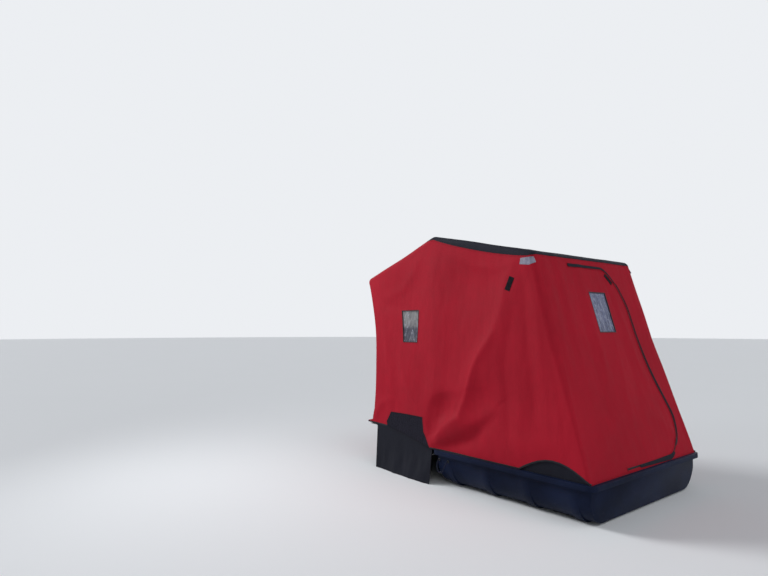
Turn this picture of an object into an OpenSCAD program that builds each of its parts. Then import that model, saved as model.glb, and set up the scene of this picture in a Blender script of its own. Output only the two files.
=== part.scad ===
// Flip-over ice fishing hut: an insulated fabric cover over a fan of folding
// hoops, carried by a moulded sled. Millimetres. The part stands on Z = 0, with
// X across the sled, +Y from the door wall to the fishing side.

/* [Sled] */
// Length of the sled over its rim, left to right
sled_length = 1530; // [1400:10:1700]
// Depth of the sled over its rim, rear to front
sled_depth = 1394; // [1300:2:1500]
// Height of the rim above the ground
sled_height = 270; // [240:5:320]
// Wall thickness of the moulding
sled_wall = 6; // [5:1:9]
// Width of the flat rim round the top
rim_width = 39; // [36:1:50]
// Depth of the lip that turns down at the rim's edge
lip_depth = 34; // [25:1:45]
// Radius of the rim's corners, seen from above
corner_radius = 60; // [50:5:130]
// Length of each upturned end
bow_length = 150; // [100:5:360]
// How far the front and rear walls draw in towards the bottom
wall_draft = 20; // [10:1:40]
// Height of the keels under the floor
keel_height = 12; // [8:1:18]
// Width of each keel
keel_width = 64; // [40:2:90]
// Number of keels
keel_count = 4; // [3:1:6]

/* [Cover] */
// Thickness of the quilted fabric
fabric = 8; // [5:1:12]
// Half of the cover's width where it meets the rim
foot_half_width = 742; // [700:1:745]
// Half of the cover's width at the highest crossbar
top_half_width = 656; // [600:1:700]
// Distance from the rim's rear edge to the foot of the rear wall
rear_foot_y = 30; // [20:1:60]
// Rear top corner, distance from the rim's rear edge
rear_top_y = 474; // [400:2:560]
// Rear top corner, height
rear_top_z = 1762; // [1650:2:1850]
// Highest crossbar, distance from the rim's rear edge
apex_y = 1475; // [1350:5:1600]
// Highest crossbar, height
apex_z = 1982; // [1850:2:2050]
// Front shoulder, distance from the rim's rear edge
shoulder_y = 2345; // [2200:5:2450]
// Front shoulder, height
shoulder_z = 1676; // [1550:2:1750]
// Foot of the front wall, distance from the rim's rear edge
front_foot_y = 2170; // [2100:5:2250]
// Height of the front wall's foot
front_foot_z = 404; // [350:2:450]
// How fast the front wall's flare dies away below the shoulder
front_flare = 3.5; // [2:0.1:5]
// Distance that the pole pocket kicks out at the front wall's foot
pocket_reach = 65; // [40:1:80]
// Distance that the roof cloth wraps past the highest crossbar
roof_wrap = 80; // [40:5:120]
// Depth of the roof cloth on the rear wall
roof_drop = 34; // [15:1:50]
// Extra depth of the roof cloth on the sides, at its middle
roof_sag = 46; // [30:1:90]
// Height that the side hem lifts off the rim
hem_lift = 95; // [0:5:110]

/* [Openings] */
// Width of the door window and the front windows
window_width = 206; // [180:2:260]
// Height of the door window and the front windows
window_height = 298; // [240:2:320]
// Width of the side windows
side_window_width = 186; // [160:2:240]
// Height of the side windows
side_window_height = 264; // [220:2:320]
// Middle of the side window, distance from the rim's rear edge
side_window_y = 1720; // [1660:5:1780]
// Middle of the side window, height
side_window_z = 1238; // [1100:2:1350]
// Gap between the door flap and the wall
door_gap = 6; // [5:1:8]
// Width of each half of the zip
zip_width = 9; // [6:1:14]
// Distance of the door's sewn edge from the middle of the rear wall
hinge_x = 280; // [240:5:320]

/* [Frame] */
// Diameter of the poles
pole = 25; // [20:1:28]
// Diameter of the lower sleeves that the poles slide into
sleeve = 30; // [28:1:34]
// Wall thickness of the poles
pole_wall = 2; // [1.5:0.5:3]
// Distance from the middle of the fan to the top of the lower sleeves
sleeve_end = 980; // [800:10:1100]
// Distance of the poles' pivot bolts from the middle of the fan
fan_radius = 78; // [70:1:90]
// Space between the three upper crossbars and the fabric
bar_gap = 8; // [0:1:12]
// Thickness of the pivot bracket's plate
plate = 4; // [3:1:6]
// Diameter of the pivot bolts
bolt = 10; // [8:1:12]

/* [Hidden] */

cover_red = [0.66, 0.05, 0.09];
cloth_black = [0.05, 0.05, 0.06];
sled_black = [0.04, 0.05, 0.09];
steel = [0.32, 0.33, 0.35];
vinyl = [0.62, 0.64, 0.68, 0.6];
reflector = [0.7, 0.7, 0.72];

// Everything is drawn from the rim's rear edge and then centred on the ground
total_depth = shoulder_y;
round_faces = 48;
reach = 4000;

// Slope of the cover's sides: inward travel for each millimetre of height
lean = (foot_half_width - top_half_width) / (apex_z - sled_height);
function half_width(z) = foot_half_width - lean * (z - sled_height);

// Point at distance d inside the corner p of an outline that runs clockwise
function unit(v) = v / norm(v);
function inner_normal(a, b) = let (u = unit(b - a)) [u.y, -u.x];
function inset_corner(before, p, after, d) =
    let (m = inner_normal(before, p), n = inner_normal(p, after))
    p + d * (m + n) / (1 + m * n);

// Outline of the cover in the YZ plane, from the rear foot over the roof to the front foot
rear_foot = [rear_foot_y, sled_height];
rear_top = [rear_top_y, rear_top_z];
apex = [apex_y, apex_z];
shoulder = [shoulder_y, shoulder_z];
roof_rear_end = rear_top + roof_drop * unit(rear_foot - rear_top);
roof_front_end = apex + roof_wrap * unit(shoulder - apex);
front_steps = 14;
function front_y(s) = front_foot_y + (shoulder_y - front_foot_y) * pow(s, front_flare);
front_curve = [for (i = [1:front_steps]) let (s = 1 - i / front_steps)
    [front_y(s), front_foot_z + s * (shoulder_z - front_foot_z)]];
pocket_tip = [front_foot_y + pocket_reach, front_foot_z - 16];
outline = concat([rear_foot, roof_rear_end, rear_top, apex, roof_front_end, shoulder], front_curve, [pocket_tip]);
last = len(outline) - 1;
before_foot = [rear_foot_y - 30, sled_height - 100];
function inset_at(i, d) = inset_corner(i == 0 ? before_foot : outline[i - 1], outline[i],
    i == last ? pocket_tip + [30, -8] : outline[i + 1], d);
function band(from, to, d0 = 0, d1 = fabric) = concat(
    [for (i = [from:to]) inset_at(i, d0)], [for (i = [to:-1:from]) inset_at(i, d1)]);
roof_first = 1;
roof_last = 4;
shoulder_at = 5;

// Rear wall's own plane: x across, s up the slope from the foot
rear_tilt = atan2(rear_top_y - rear_foot_y, rear_top_z - sled_height);
rear_length = norm(rear_top - rear_foot);
sill_top = 24;

// Door outline in the rear wall's plane, grown outwards by g
door_bottom = sill_top + door_gap;
door_top = 1486;
door_waist = 1050;
door_waist_x = 403;
door_belly_x = 577;
door_belly = 290;
door_foot_x = 330;
door_head_x = 172;
door_head = 1090;
arc_steps = 12;
// Rounded corner that is a little flatter than a quarter of an ellipse
function soft_arc(a, rx, ry) = [rx * pow(cos(a), 1.14), ry * pow(sin(a), 1.14)];
function bezier(p0, p1, p2, p3, t) =
    pow(1 - t, 3) * p0 + 3 * t * pow(1 - t, 2) * p1 + 3 * t * t * (1 - t) * p2 + pow(t, 3) * p3;
waist_pull = 450;
belly_pull = 110;
function door_outline(g) = concat(
    [[-hinge_x, door_top + g], [-hinge_x, door_bottom - g]],
    [for (i = [arc_steps:-1:0]) let (c = soft_arc(90 * i / arc_steps,
            door_belly_x - door_foot_x + g, door_belly - door_bottom + g))
        [door_foot_x + c.x, door_belly - c.y]],
    [for (i = [1:arc_steps]) bezier([door_belly_x + g, door_belly],
        [door_belly_x + g, door_belly + belly_pull], [door_waist_x + g, door_waist - waist_pull],
        [door_waist_x + g, door_waist], i / arc_steps)],
    [for (i = [0:arc_steps]) let (c = soft_arc(90 * i / arc_steps,
            door_waist_x - door_head_x + g, door_top - door_head + g))
        [door_head_x + c.x, door_head + c.y]]);

// Seam between the roof cloth and the side walls, from the rear corner to the wrap
seam_steps = 12;
function roof_z(y) = y < apex_y
    ? rear_top_z + (y - rear_top_y) * (apex_z - rear_top_z) / (apex_y - rear_top_y)
    : apex_z + (y - apex_y) * (shoulder_z - apex_z) / (shoulder_y - apex_y);
seam = [for (i = [1:seam_steps - 1]) let (s = i / seam_steps,
        y = roof_rear_end.x + s * (roof_front_end.x - roof_rear_end.x))
    [y, roof_z(y) - roof_drop * (1 - s) - roof_sag * sqrt(sin(180 * s))]];

// Hem of the side walls where it lifts off the rim
hem_start = rear_foot_y;
hem_end = 560;
hem_steps = 10;
hem = [for (i = [0:hem_steps]) let (s = i / hem_steps)
    [hem_end - s * (hem_end - hem_start), sled_height + hem_lift * sin(180 * s)]];

// Black gusset between the front hem and the pivot
gusset_low = [1415, sled_height];
gusset_bend = [1501, 385];
gusset_rear_top = [1513, 503];
gusset_front_top = [1930, 498];
gusset_front = [1979, 411];
gusset_front_low = [1965, 369];
side_outline = concat([rear_foot, roof_rear_end], seam, [roof_front_end, shoulder], front_curve,
    [pocket_tip, pocket_tip + [-4, -10], gusset_front_low, gusset_front, gusset_front_top,
     gusset_rear_top, gusset_bend, gusset_low], [for (i = [0:hem_steps - 1]) hem[i]]);
skirt_front_y = 2100;
skirt_top = 330;

// Middle of the fan of hoops, and the middle of each hoop's crossbar in the YZ plane
pivot = [1374, sled_height];
tube_inset = fabric + pole / 2;
rear_bar = inset_corner(rear_foot, rear_top, apex, tube_inset + bar_gap);
top_bar = inset_corner(rear_top, apex, shoulder, tube_inset + bar_gap);
front_bar = inset_corner(apex, shoulder, front_curve[0], tube_inset + bar_gap);
front_foot = [front_foot_y, front_foot_z];
base_bar = (front_foot + pocket_tip) / 2 + tube_inset * inner_normal(front_foot, pocket_tip);
side_gap = 12;
function leg_x(z) = half_width(z) - fabric - side_gap - pole / 2;
function hoop_angle(bar) = atan2(bar.y - pivot.y, bar.x - pivot.x);
function hoop_radius(bar) = norm(bar - pivot);

module place() {
    translate([0, -total_depth / 2, 0])
        children();
}

// Draws a YZ outline across the full width
module across(points, width = reach) {
    translate([-width / 2, 0, 0])
        rotate([90, 0, 90])
            linear_extrude(width)
                polygon(points);
}

// Draws an XZ outline along the full depth
module along(points) {
    translate([0, reach, 0])
        rotate([90, 0, 0])
            linear_extrude(2 * reach)
                polygon(points);
}

// Space between the two leaning sides, at depth d inside their outer faces
module between_sides(d = fabric) {
    low = 0;
    high = apex_z + 100;
    along([[-half_width(low) + d, low], [half_width(low) - d, low],
        [half_width(high) - d, high], [-half_width(high) + d, high]]);
}

// Leaning sheet from d0 to d1 inside the side's outer face; side is -1 or 1
module side_sheet(side, d0 = 0, d1 = fabric) {
    low = -50;
    high = apex_z + 100;
    along([[side * (half_width(low) - d0), low], [side * (half_width(low) - d1), low],
        [side * (half_width(high) - d1), high], [side * (half_width(high) - d0), high]]);
}

module side_panel(side, points, d0 = 0, d1 = fabric) {
    intersection() {
        across(points);
        side_sheet(side, d0, d1);
    }
}

// Draws in the rear wall's plane: z from -depth to proud is measured out of the wall
module rear_plane(depth = fabric, proud = 0) {
    translate([0, rear_foot_y, sled_height])
        rotate([90 - rear_tilt, 0, 0])
            translate([0, 0, -depth])
                linear_extrude(depth + proud)
                    children();
}

function box_at(x0, x1, y0, y1) = [[x0, y0], [x1, y0], [x1, y1], [x0, y1]];

function window_at(u, v, width, height) = box_at(u - width / 2, u + width / 2,
    v - height / 2, v + height / 2);

// Rounded rectangle of the sled's plan, inset by d
module plan(d, radius) {
    x = sled_length / 2 - d;
    y0 = d;
    y1 = sled_depth - d;
    polygon(box_at(-x + radius, x - radius, y0, y1));
    polygon(box_at(-x, x, y0 + radius, y1 - radius));
    for (cx = [-x + radius, x - radius], cy = [y0 + radius, y1 - radius])
        translate([cx, cy])
            circle(r = radius, $fn = round_faces);
}

// Side view of the hull: a flat floor at height low, with upturned ends
bow_steps = 8;
bow_top = sled_height - 60;
wall_inset = rim_width - sled_wall;
hull_half = sled_length / 2 - wall_inset;
function bow(side, d, low) = concat([for (i = [0:bow_steps]) let (a = 90 * i / bow_steps)
    [side * (hull_half - d - bow_length + bow_length * sin(a)), bow_top - (bow_top - low) * cos(a)]],
    [[side * (hull_half - d), sled_height + 1]]);
function backwards(points) = [for (i = [len(points) - 1:-1:0]) points[i]];
function hull_side(d, low) = concat(bow(1, d, low), backwards(bow(-1, d, low)));
// End view of the hull: drafted front and rear walls
function hull_end(d, low) = [
    [wall_inset + wall_draft + d, low], [wall_inset + d, sled_height + 1],
    [sled_depth - wall_inset - d, sled_height + 1],
    [sled_depth - wall_inset - wall_draft - d, low]];

module hull_form(d, low, radius) {
    intersection() {
        along(hull_side(d, low));
        across(hull_end(d, low));
        linear_extrude(sled_height)
            plan(wall_inset + d, radius);
    }
}

module keels() {
    inner = wall_inset + wall_draft + 110;
    pitch = (sled_depth - 2 * inner) / (keel_count - 1);
    for (i = [0:keel_count - 1])
        intersection() {
            along(hull_side(0, 0));
            translate([-reach / 2, inner + i * pitch - keel_width / 2, 0])
                cube([reach, keel_width, sled_height - sled_wall]);
        }
}

module sled_tub() {
    inner_radius = corner_radius - rim_width;
    color(sled_black) place() difference() {
        union() {
            hull_form(0, keel_height, inner_radius + sled_wall);
            keels();
            translate([0, 0, sled_height - sled_wall])
                linear_extrude(sled_wall)
                    plan(0, corner_radius);
            translate([0, 0, sled_height - lip_depth])
                linear_extrude(lip_depth)
                    difference() {
                        plan(0, corner_radius);
                        plan(sled_wall, corner_radius - sled_wall);
                    }
        }
        hull_form(sled_wall, keel_height + sled_wall, inner_radius);
        translate([0, 0, sled_height - sled_wall - 1])
            linear_extrude(sled_wall + 2)
                plan(rim_width, inner_radius);
    }
}

// Places its children in a hoop's own plane: x across, z out along the hoop
module hoop_plane(bar) {
    translate([0, pivot.x, pivot.y])
        rotate([hoop_angle(bar) - 90, 0, 0])
            children();
}

// Runs its children along one leg of a hoop, with z out along the leg
module along_leg(bar, side) {
    tilt = atan(lean * sin(hoop_angle(bar)));
    hoop_plane(bar)
        translate([side * leg_x(pivot.y), 0, 0])
            rotate([0, -side * tilt, 0])
                children();
}

module tube(r, wall, from, to) {
    difference() {
        translate([0, 0, from])
            cylinder(r = r, h = to - from, $fn = round_faces);
        translate([0, 0, from - 1])
            cylinder(r = r - wall, h = to - from + 2, $fn = round_faces);
    }
}

// Shank of a pivot bolt, from x0 to x1 on one side
module bolt_shank(bar, side, r, x0, x1) {
    hoop_plane(bar)
        translate([side * x0, 0, fan_radius])
            rotate([0, side * 90, 0])
                cylinder(r = r, h = x1 - x0, $fn = round_faces);
}

tongue = 24;
tongue_end = fan_radius + 44;
// Flat eye at the foot of a leg
module tongue_eye(bar, side) {
    difference() {
        along_leg(bar, side) {
            translate([-tongue / 2, -tongue / 2, fan_radius])
                cube([tongue, tongue, tongue_end - fan_radius]);
            translate([-tongue / 2, 0, fan_radius])
                rotate([0, 90, 0])
                    cylinder(r = tongue / 2, h = tongue, $fn = round_faces);
        }
        bolt_shank(bar, side, bolt / 2 + 0.05, leg_x(pivot.y) - 60, leg_x(pivot.y) + 60);
    }
}

module sleeves(bar) {
    for (side = [-1, 1]) {
        tongue_eye(bar, side);
        along_leg(bar, side)
            tube(sleeve / 2, (sleeve - pole) / 2, tongue_end, sleeve_end);
    }
}

elbow_reach = 30;
plug_length = 36;
pole_start = sleeve_end - 240;
function leg_tilt(bar) = atan(lean * sin(hoop_angle(bar)));
function leg_length(bar) = hoop_radius(bar) / cos(leg_tilt(bar));
function bar_half(bar) = leg_x(bar.y);

module crossbar(bar) {
    half = bar_half(bar) - elbow_reach;
    hoop_plane(bar)
        translate([0, 0, hoop_radius(bar)])
            rotate([0, 90, 0])
                tube(pole / 2, pole_wall, -half, half);
}

module poles(bar) {
    for (side = [-1, 1])
        along_leg(bar, side)
            tube(pole / 2, pole_wall, pole_start, leg_length(bar) - elbow_reach);
    crossbar(bar);
}

// Moulded corner that plugs into a leg and into the crossbar
collar_r = pole / 2 - 1;
module elbow(bar, side) {
    plug = pole / 2 - pole_wall;
    hoop_plane(bar)
        translate([side * bar_half(bar), 0, hoop_radius(bar)]) {
            sphere(r = pole / 2, $fn = round_faces);
            rotate([0, -side * 90, 0]) {
                cylinder(r = collar_r, h = elbow_reach, $fn = round_faces);
                cylinder(r = plug, h = elbow_reach + plug_length, $fn = round_faces);
            }
            rotate([0, 180 - side * leg_tilt(bar), 0]) {
                cylinder(r = collar_r, h = elbow_reach, $fn = round_faces);
                cylinder(r = plug, h = elbow_reach + plug_length, $fn = round_faces);
            }
        }
}

module rear_hoop_sleeves() {
    color(steel) place()
        sleeves(rear_bar);
}

module rear_hoop() {
    color(steel) place()
        poles(rear_bar);
}

module top_hoop_sleeves() {
    color(steel) place()
        sleeves(top_bar);
}

module top_hoop() {
    color(steel) place()
        poles(top_bar);
}

module front_hoop_sleeves() {
    color(steel) place()
        sleeves(front_bar);
}

module front_hoop() {
    color(steel) place()
        poles(front_bar);
}

module base_hoop() {
    color(steel) place() {
        for (side = [-1, 1]) {
            tongue_eye(base_bar, side);
            along_leg(base_bar, side)
                tube(pole / 2, pole_wall, tongue_end, leg_length(base_bar) - elbow_reach);
        }
        crossbar(base_bar);
        for (side = [-1, 1])
            elbow(base_bar, side);
    }
}

module hoop_elbows() {
    color(cloth_black) place()
        for (bar = [rear_bar, top_bar, front_bar], side = [-1, 1])
            elbow(bar, side);
}

// Fan-shaped plate that carries the feet of the four hoops; its tail lies on the sled's inner wall
bracket_x = sled_length / 2 - rim_width;
fan_edge = fan_radius + 20;
fan_steps = 12;
fan_plate = concat(
    [[pivot.x - 84, sled_height - 52], [pivot.x - 84, sled_height], [sled_depth + 6, sled_height],
     [sled_depth + 6, sled_height - 14]],
    [for (i = [0:fan_steps]) let (a = -8 + 148 * i / fan_steps) pivot + fan_edge * [cos(a), sin(a)]],
    [[pivot.x - 180, sled_height - 6], [pivot.x - 180, sled_height - 52]]);

module pivot_bracket(side) {
    color(steel) place()
        difference() {
            translate([side * (bracket_x - plate / 2), 0, 0])
                across(fan_plate, plate);
            for (bar = [rear_bar, top_bar, front_bar, base_bar])
                bolt_shank(bar, side, bolt / 2, bracket_x - 2 * plate, bracket_x + plate);
        }
}

module pivot_bracket_left() {
    pivot_bracket(-1);
}

module pivot_bracket_right() {
    pivot_bracket(1);
}

bolt_head = 2.5;
nut = 8;
nut_x = bracket_x - 41;
module pivot_bolts() {
    color(steel) place()
        for (bar = [rear_bar, top_bar, front_bar, base_bar], side = [-1, 1]) {
            bolt_shank(bar, side, bolt / 2, nut_x - nut, bracket_x);
            bolt_shank(bar, side, bolt, bracket_x, bracket_x + bolt_head);
            hoop_plane(bar)
                translate([side * (nut_x - nut), 0, fan_radius])
                    rotate([0, side * 90, 0])
                        cylinder(r = 9.5, h = nut, $fn = 6);
        }
}

// Tow rope loops: route in the rim's frame, out of the end wall and back into it
rope_r = 4.5;
rope_sides = 10;
rope_wall = hull_half - 1;
rope_route = [[rope_wall, 62, 196], [rope_wall + 12, 62, 194], [rope_wall + 24, 64, 184],
    [rope_wall + 33, 68, 166], [rope_wall + 38, 74, 144], [rope_wall + 40, 84, 124],
    [rope_wall + 40, 100, 114], [rope_wall + 40, 118, 114], [rope_wall + 40, 134, 124],
    [rope_wall + 38, 144, 144], [rope_wall + 33, 150, 166], [rope_wall + 24, 154, 184],
    [rope_wall + 12, 156, 194], [rope_wall, 156, 196]];

function tangent(path, i) = unit(path[min(i + 1, len(path) - 1)] - path[max(i - 1, 0)]);
function rope_ring(path, i) =
    let (t = i == 0 ? [1, 0, 0] : i == len(path) - 1 ? [-1, 0, 0] : tangent(path, i),
        n = unit(cross(t, [0.3, 0, 1])), b = cross(t, n))
    [for (k = [0:rope_sides - 1]) let (a = 360 * k / rope_sides)
        path[i] + rope_r * (cos(a) * n + sin(a) * b)];

module rope(path) {
    rings = len(path);
    points = [for (i = [0:rings - 1]) each rope_ring(path, i)];
    sides = [for (i = [0:rings - 2], k = [0:rope_sides - 1])
        let (m = (k + 1) % rope_sides, near = i * rope_sides, far = near + rope_sides)
        each [[near + k, near + m, far + m], [near + k, far + m, far + k]]];
    start = [for (k = [rope_sides - 1:-1:0]) k];
    finish = [for (k = [0:rope_sides - 1]) (rings - 1) * rope_sides + k];
    polyhedron(points = points, faces = concat([start], sides, [finish]));
}

module tow_rope_right() {
    color(cloth_black) place()
        rope(rope_route);
}

module tow_rope_left() {
    color(cloth_black) place()
        translate([0, sled_depth, 0])
            rotate([0, 0, 180])
                rope(rope_route);
}

module roof_panel() {
    color(cloth_black) place() {
        intersection() {
            across(band(roof_first, roof_last));
            between_sides(0);
        }
        drop = concat([roof_rear_end, rear_top, apex, roof_front_end], backwards(seam));
        for (side = [-1, 1])
            side_panel(side, drop);
    }
}

module front_slope_panel() {
    color(cover_red) place()
        intersection() {
            across(band(roof_last, shoulder_at));
            between_sides();
        }
}

front_window_x = 330;
front_window_z = 1240;
module front_window_opening(side) {
    translate([side * front_window_x - window_width / 2, 0, front_window_z - window_height / 2])
        cube([window_width, reach, window_height]);
}

module front_wall() {
    color(cover_red) place()
        difference() {
            intersection() {
                across(band(shoulder_at, last));
                between_sides();
            }
            for (side = [-1, 1])
                front_window_opening(side);
        }
}

pane_near = 2;
pane_far = 6;
module front_window(side) {
    color(vinyl) place()
        intersection() {
            across(band(shoulder_at, last, pane_near, pane_far));
            front_window_opening(side);
        }
}

module front_window_left() {
    front_window(-1);
}

module front_window_right() {
    front_window(1);
}

side_window = window_at(side_window_y, side_window_z, side_window_width, side_window_height);

module side_wall(side) {
    color(cover_red) place()
        difference() {
            side_panel(side, side_outline);
            across(side_window);
            across(band(roof_first, roof_last));
        }
}

module side_wall_left() {
    side_wall(-1);
}

module side_wall_right() {
    side_wall(1);
}

module side_window_left() {
    color(vinyl) place()
        side_panel(-1, side_window, pane_near, pane_far);
}

module side_window_right() {
    color(vinyl) place()
        side_panel(1, side_window, pane_near, pane_far);
}

gusset = [gusset_low, gusset_bend, gusset_rear_top, gusset_front_top, gusset_front, gusset_front_low];

module side_gusset_left() {
    color(cloth_black) place()
        side_panel(-1, gusset);
}

module side_gusset_right() {
    color(cloth_black) place()
        side_panel(1, gusset);
}

// Black draught flap inside the raised part of each side hem; it stands on the rim
flap_thickness = 3;
flap_top = 398;
flap_front = hem_end + 30;
flap = [[rear_foot_y + 10, sled_height], [flap_front, sled_height], [flap_front - 20, flap_top - 30],
    [hem_end - 70, flap_top], [rear_foot_y + 48, flap_top]];

module side_flap_left() {
    color(cloth_black) place()
        side_panel(-1, flap, fabric, fabric + flap_thickness);
}

module side_flap_right() {
    color(cloth_black) place()
        side_panel(1, flap, fabric, fabric + flap_thickness);
}

// Snow skirts: they hang from the gussets, the side hems and the front crossbar to the ground
hem_slope = (pocket_tip.y - 10 - gusset_front_low.y) / (pocket_tip.x - 4 - gusset_front_low.x);
skirt_front_top = gusset_front_low.y + hem_slope * (skirt_front_y - gusset_front_low.x);
skirt_rear_y = sled_depth + 4;
gusset_slope = (gusset_front_low.y - gusset_low.y) / (gusset_front_low.x - gusset_low.x);
side_skirt = [[skirt_rear_y, 0], [skirt_front_y, 0], [skirt_front_y, skirt_front_top],
    gusset_front_low, gusset_low, [skirt_rear_y, gusset_low.y]];

module side_skirt_left() {
    color(cloth_black) place()
        side_panel(-1, side_skirt);
}

module side_skirt_right() {
    color(cloth_black) place()
        side_panel(1, side_skirt);
}

module front_skirt() {
    bar_low = base_bar.y - pole / 2;
    skirt_back = skirt_front_y - fabric;
    color(cloth_black) place()
        difference() {
            intersection() {
                across([[skirt_back, 0], [skirt_front_y, 0], [skirt_front_y, bar_low - fabric],
                    [base_bar.x + pole / 2, bar_low - fabric], [base_bar.x + pole / 2, bar_low],
                    [skirt_back, bar_low]]);
                between_sides();
            }
            for (side = [-1, 1])
                along_leg(base_bar, side)
                    cylinder(r = pole / 2 + 1, h = leg_length(base_bar) + pole, $fn = round_faces);
        }
}

// Rear wall round the door, and the black flap over the zip along its foot
rear_top_s = rear_length - roof_drop;
door_clear_top = door_top + door_gap;
sill_end = 450;
below_rim = -20;
module rear_wall_piece(x0, x1, s0, s1) {
    intersection() {
        rear_plane()
            polygon(box_at(x0, x1, s0, s1));
        between_sides();
        translate([-reach / 2, 0, sled_height])
            cube([reach, reach, reach]);
    }
}

module rear_wall_left() {
    color(cover_red) place()
        rear_wall_piece(-reach, -hinge_x, below_rim, rear_top_s);
}

module rear_wall_top() {
    color(cover_red) place()
        rear_wall_piece(-hinge_x, reach, door_clear_top, rear_top_s);
}

module rear_wall_right() {
    color(cover_red) place()
        difference() {
            rear_wall_piece(door_head_x, reach, below_rim, door_clear_top);
            rear_plane(2 * fabric, fabric) {
                polygon(door_outline(door_gap));
                polygon(box_at(-reach, sill_end, 2 * below_rim, sill_top));
            }
        }
}

module rear_sill() {
    color(cloth_black) place()
        rear_wall_piece(-hinge_x, sill_end, below_rim, sill_top);
}

door_window_x = 15;
door_window_s = 1121;
door_window = window_at(door_window_x, door_window_s, window_width, window_height);
seam_gap = 1;
module door_clip() {
    polygon(box_at(seam_gap - hinge_x, reach, 0, reach));
}

module rear_door() {
    color(cover_red) place()
        rear_plane()
            difference() {
                intersection() {
                    polygon(door_outline(0));
                    door_clip();
                }
                polygon(door_window);
            }
}

module rear_door_window() {
    color(vinyl) place()
        rear_plane(pane_far, -pane_near)
            polygon(door_window);
}

zip_proud = 3;
module rear_door_zip() {
    color(cloth_black) place()
        rear_plane(0, zip_proud)
            difference() {
                intersection() {
                    polygon(door_outline(0));
                    door_clip();
                }
                polygon(door_outline(-zip_width));
            }
}

module rear_wall_zip() {
    color(cloth_black) place()
        rear_plane(0, zip_proud)
            difference() {
                polygon(door_outline(door_gap + zip_width));
                polygon(door_outline(door_gap));
            }
}

// Webbing tabs and reflective patches, flat on the outside of the cloth
tab_proud = 3;
function tab_at(p, width, length, angle) = [for (c = box_at(-width / 2, width / 2, -length / 2, length / 2))
    p + [c.x * cos(angle) - c.y * sin(angle), c.x * sin(angle) + c.y * cos(angle)]];

module door_pull_tab() {
    color(cloth_black) place()
        rear_plane(0, tab_proud)
            polygon(tab_at([238, 1392], 24, 98, 43));
}

module side_pull_tabs() {
    color(cloth_black) place()
        for (side = [-1, 1])
            side_panel(side, tab_at([677, 1543], 36, 100, 23), -tab_proud, 0);
}

patch = [[450, 1667], [592, 1672], [585, 1728], [466, 1724]];
module reflective_patches() {
    color(reflector) place()
        for (side = [-1, 1])
            side_panel(side, patch, -2, 0);
}

sled_tub();
tow_rope_left();
tow_rope_right();
pivot_bracket_left();
pivot_bracket_right();
pivot_bolts();
rear_hoop_sleeves();
rear_hoop();
top_hoop_sleeves();
top_hoop();
front_hoop_sleeves();
front_hoop();
base_hoop();
hoop_elbows();
roof_panel();
front_slope_panel();
front_wall();
side_wall_left();
side_wall_right();
rear_wall_left();
rear_wall_right();
rear_wall_top();
rear_sill();
rear_door();
rear_door_window();
rear_door_zip();
rear_wall_zip();
door_pull_tab();
side_pull_tabs();
reflective_patches();
side_window_left();
side_window_right();
front_window_left();
front_window_right();
side_gusset_left();
side_gusset_right();
side_flap_left();
side_flap_right();
side_skirt_left();
side_skirt_right();
front_skirt();
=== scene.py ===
"""Flip-over ice fishing hut: a red cover with a zipped door, stretched over hoops on a moulded sled.

Lengths are metres. X runs across the sled and Y from the door wall to the fishing side. The cover is worked
out with y measured from the rear edge of the sled's rim and is moved into the part's frame at the end.
"""

import functools
import math

import bmesh
import bpy
import numpy as np
from bpy.props import FloatProperty, FloatVectorProperty, PointerProperty
from mathutils import Matrix, Vector, noise
from mathutils.geometry import interpolate_bezier


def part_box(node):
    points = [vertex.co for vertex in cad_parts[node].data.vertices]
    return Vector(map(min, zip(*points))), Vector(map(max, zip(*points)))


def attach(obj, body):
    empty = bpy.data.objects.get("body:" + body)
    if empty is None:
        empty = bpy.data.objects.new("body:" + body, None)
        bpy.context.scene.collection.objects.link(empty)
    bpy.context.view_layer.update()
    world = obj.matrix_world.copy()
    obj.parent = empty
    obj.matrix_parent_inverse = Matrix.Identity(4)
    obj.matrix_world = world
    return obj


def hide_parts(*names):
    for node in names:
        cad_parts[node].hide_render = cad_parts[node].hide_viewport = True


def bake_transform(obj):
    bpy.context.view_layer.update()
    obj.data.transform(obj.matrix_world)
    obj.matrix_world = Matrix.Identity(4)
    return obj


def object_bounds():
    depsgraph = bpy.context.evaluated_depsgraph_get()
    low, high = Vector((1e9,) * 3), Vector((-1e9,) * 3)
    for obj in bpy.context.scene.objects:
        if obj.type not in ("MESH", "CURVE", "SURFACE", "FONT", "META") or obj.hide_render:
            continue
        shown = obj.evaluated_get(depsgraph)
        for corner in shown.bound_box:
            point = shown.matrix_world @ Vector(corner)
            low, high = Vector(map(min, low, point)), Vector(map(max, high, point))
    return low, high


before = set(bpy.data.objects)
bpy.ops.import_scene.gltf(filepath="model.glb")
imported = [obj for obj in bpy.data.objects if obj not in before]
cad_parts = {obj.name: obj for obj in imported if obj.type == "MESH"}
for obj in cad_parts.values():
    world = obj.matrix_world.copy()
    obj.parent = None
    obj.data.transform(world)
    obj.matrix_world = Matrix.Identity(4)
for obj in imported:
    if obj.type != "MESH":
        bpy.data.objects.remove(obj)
CAD_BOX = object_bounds()

bl_info = {
    "name": "Ice Fishing Hut",
    "version": (1, 0, 0),
    "blender": (4, 5, 0),
    "location": "View3D > Sidebar > Ice Hut",
    "description": "Flip-over ice fishing hut with a sewn cover, a zipped door, folding hoops and a sled",
    "category": "Object",
}

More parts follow.
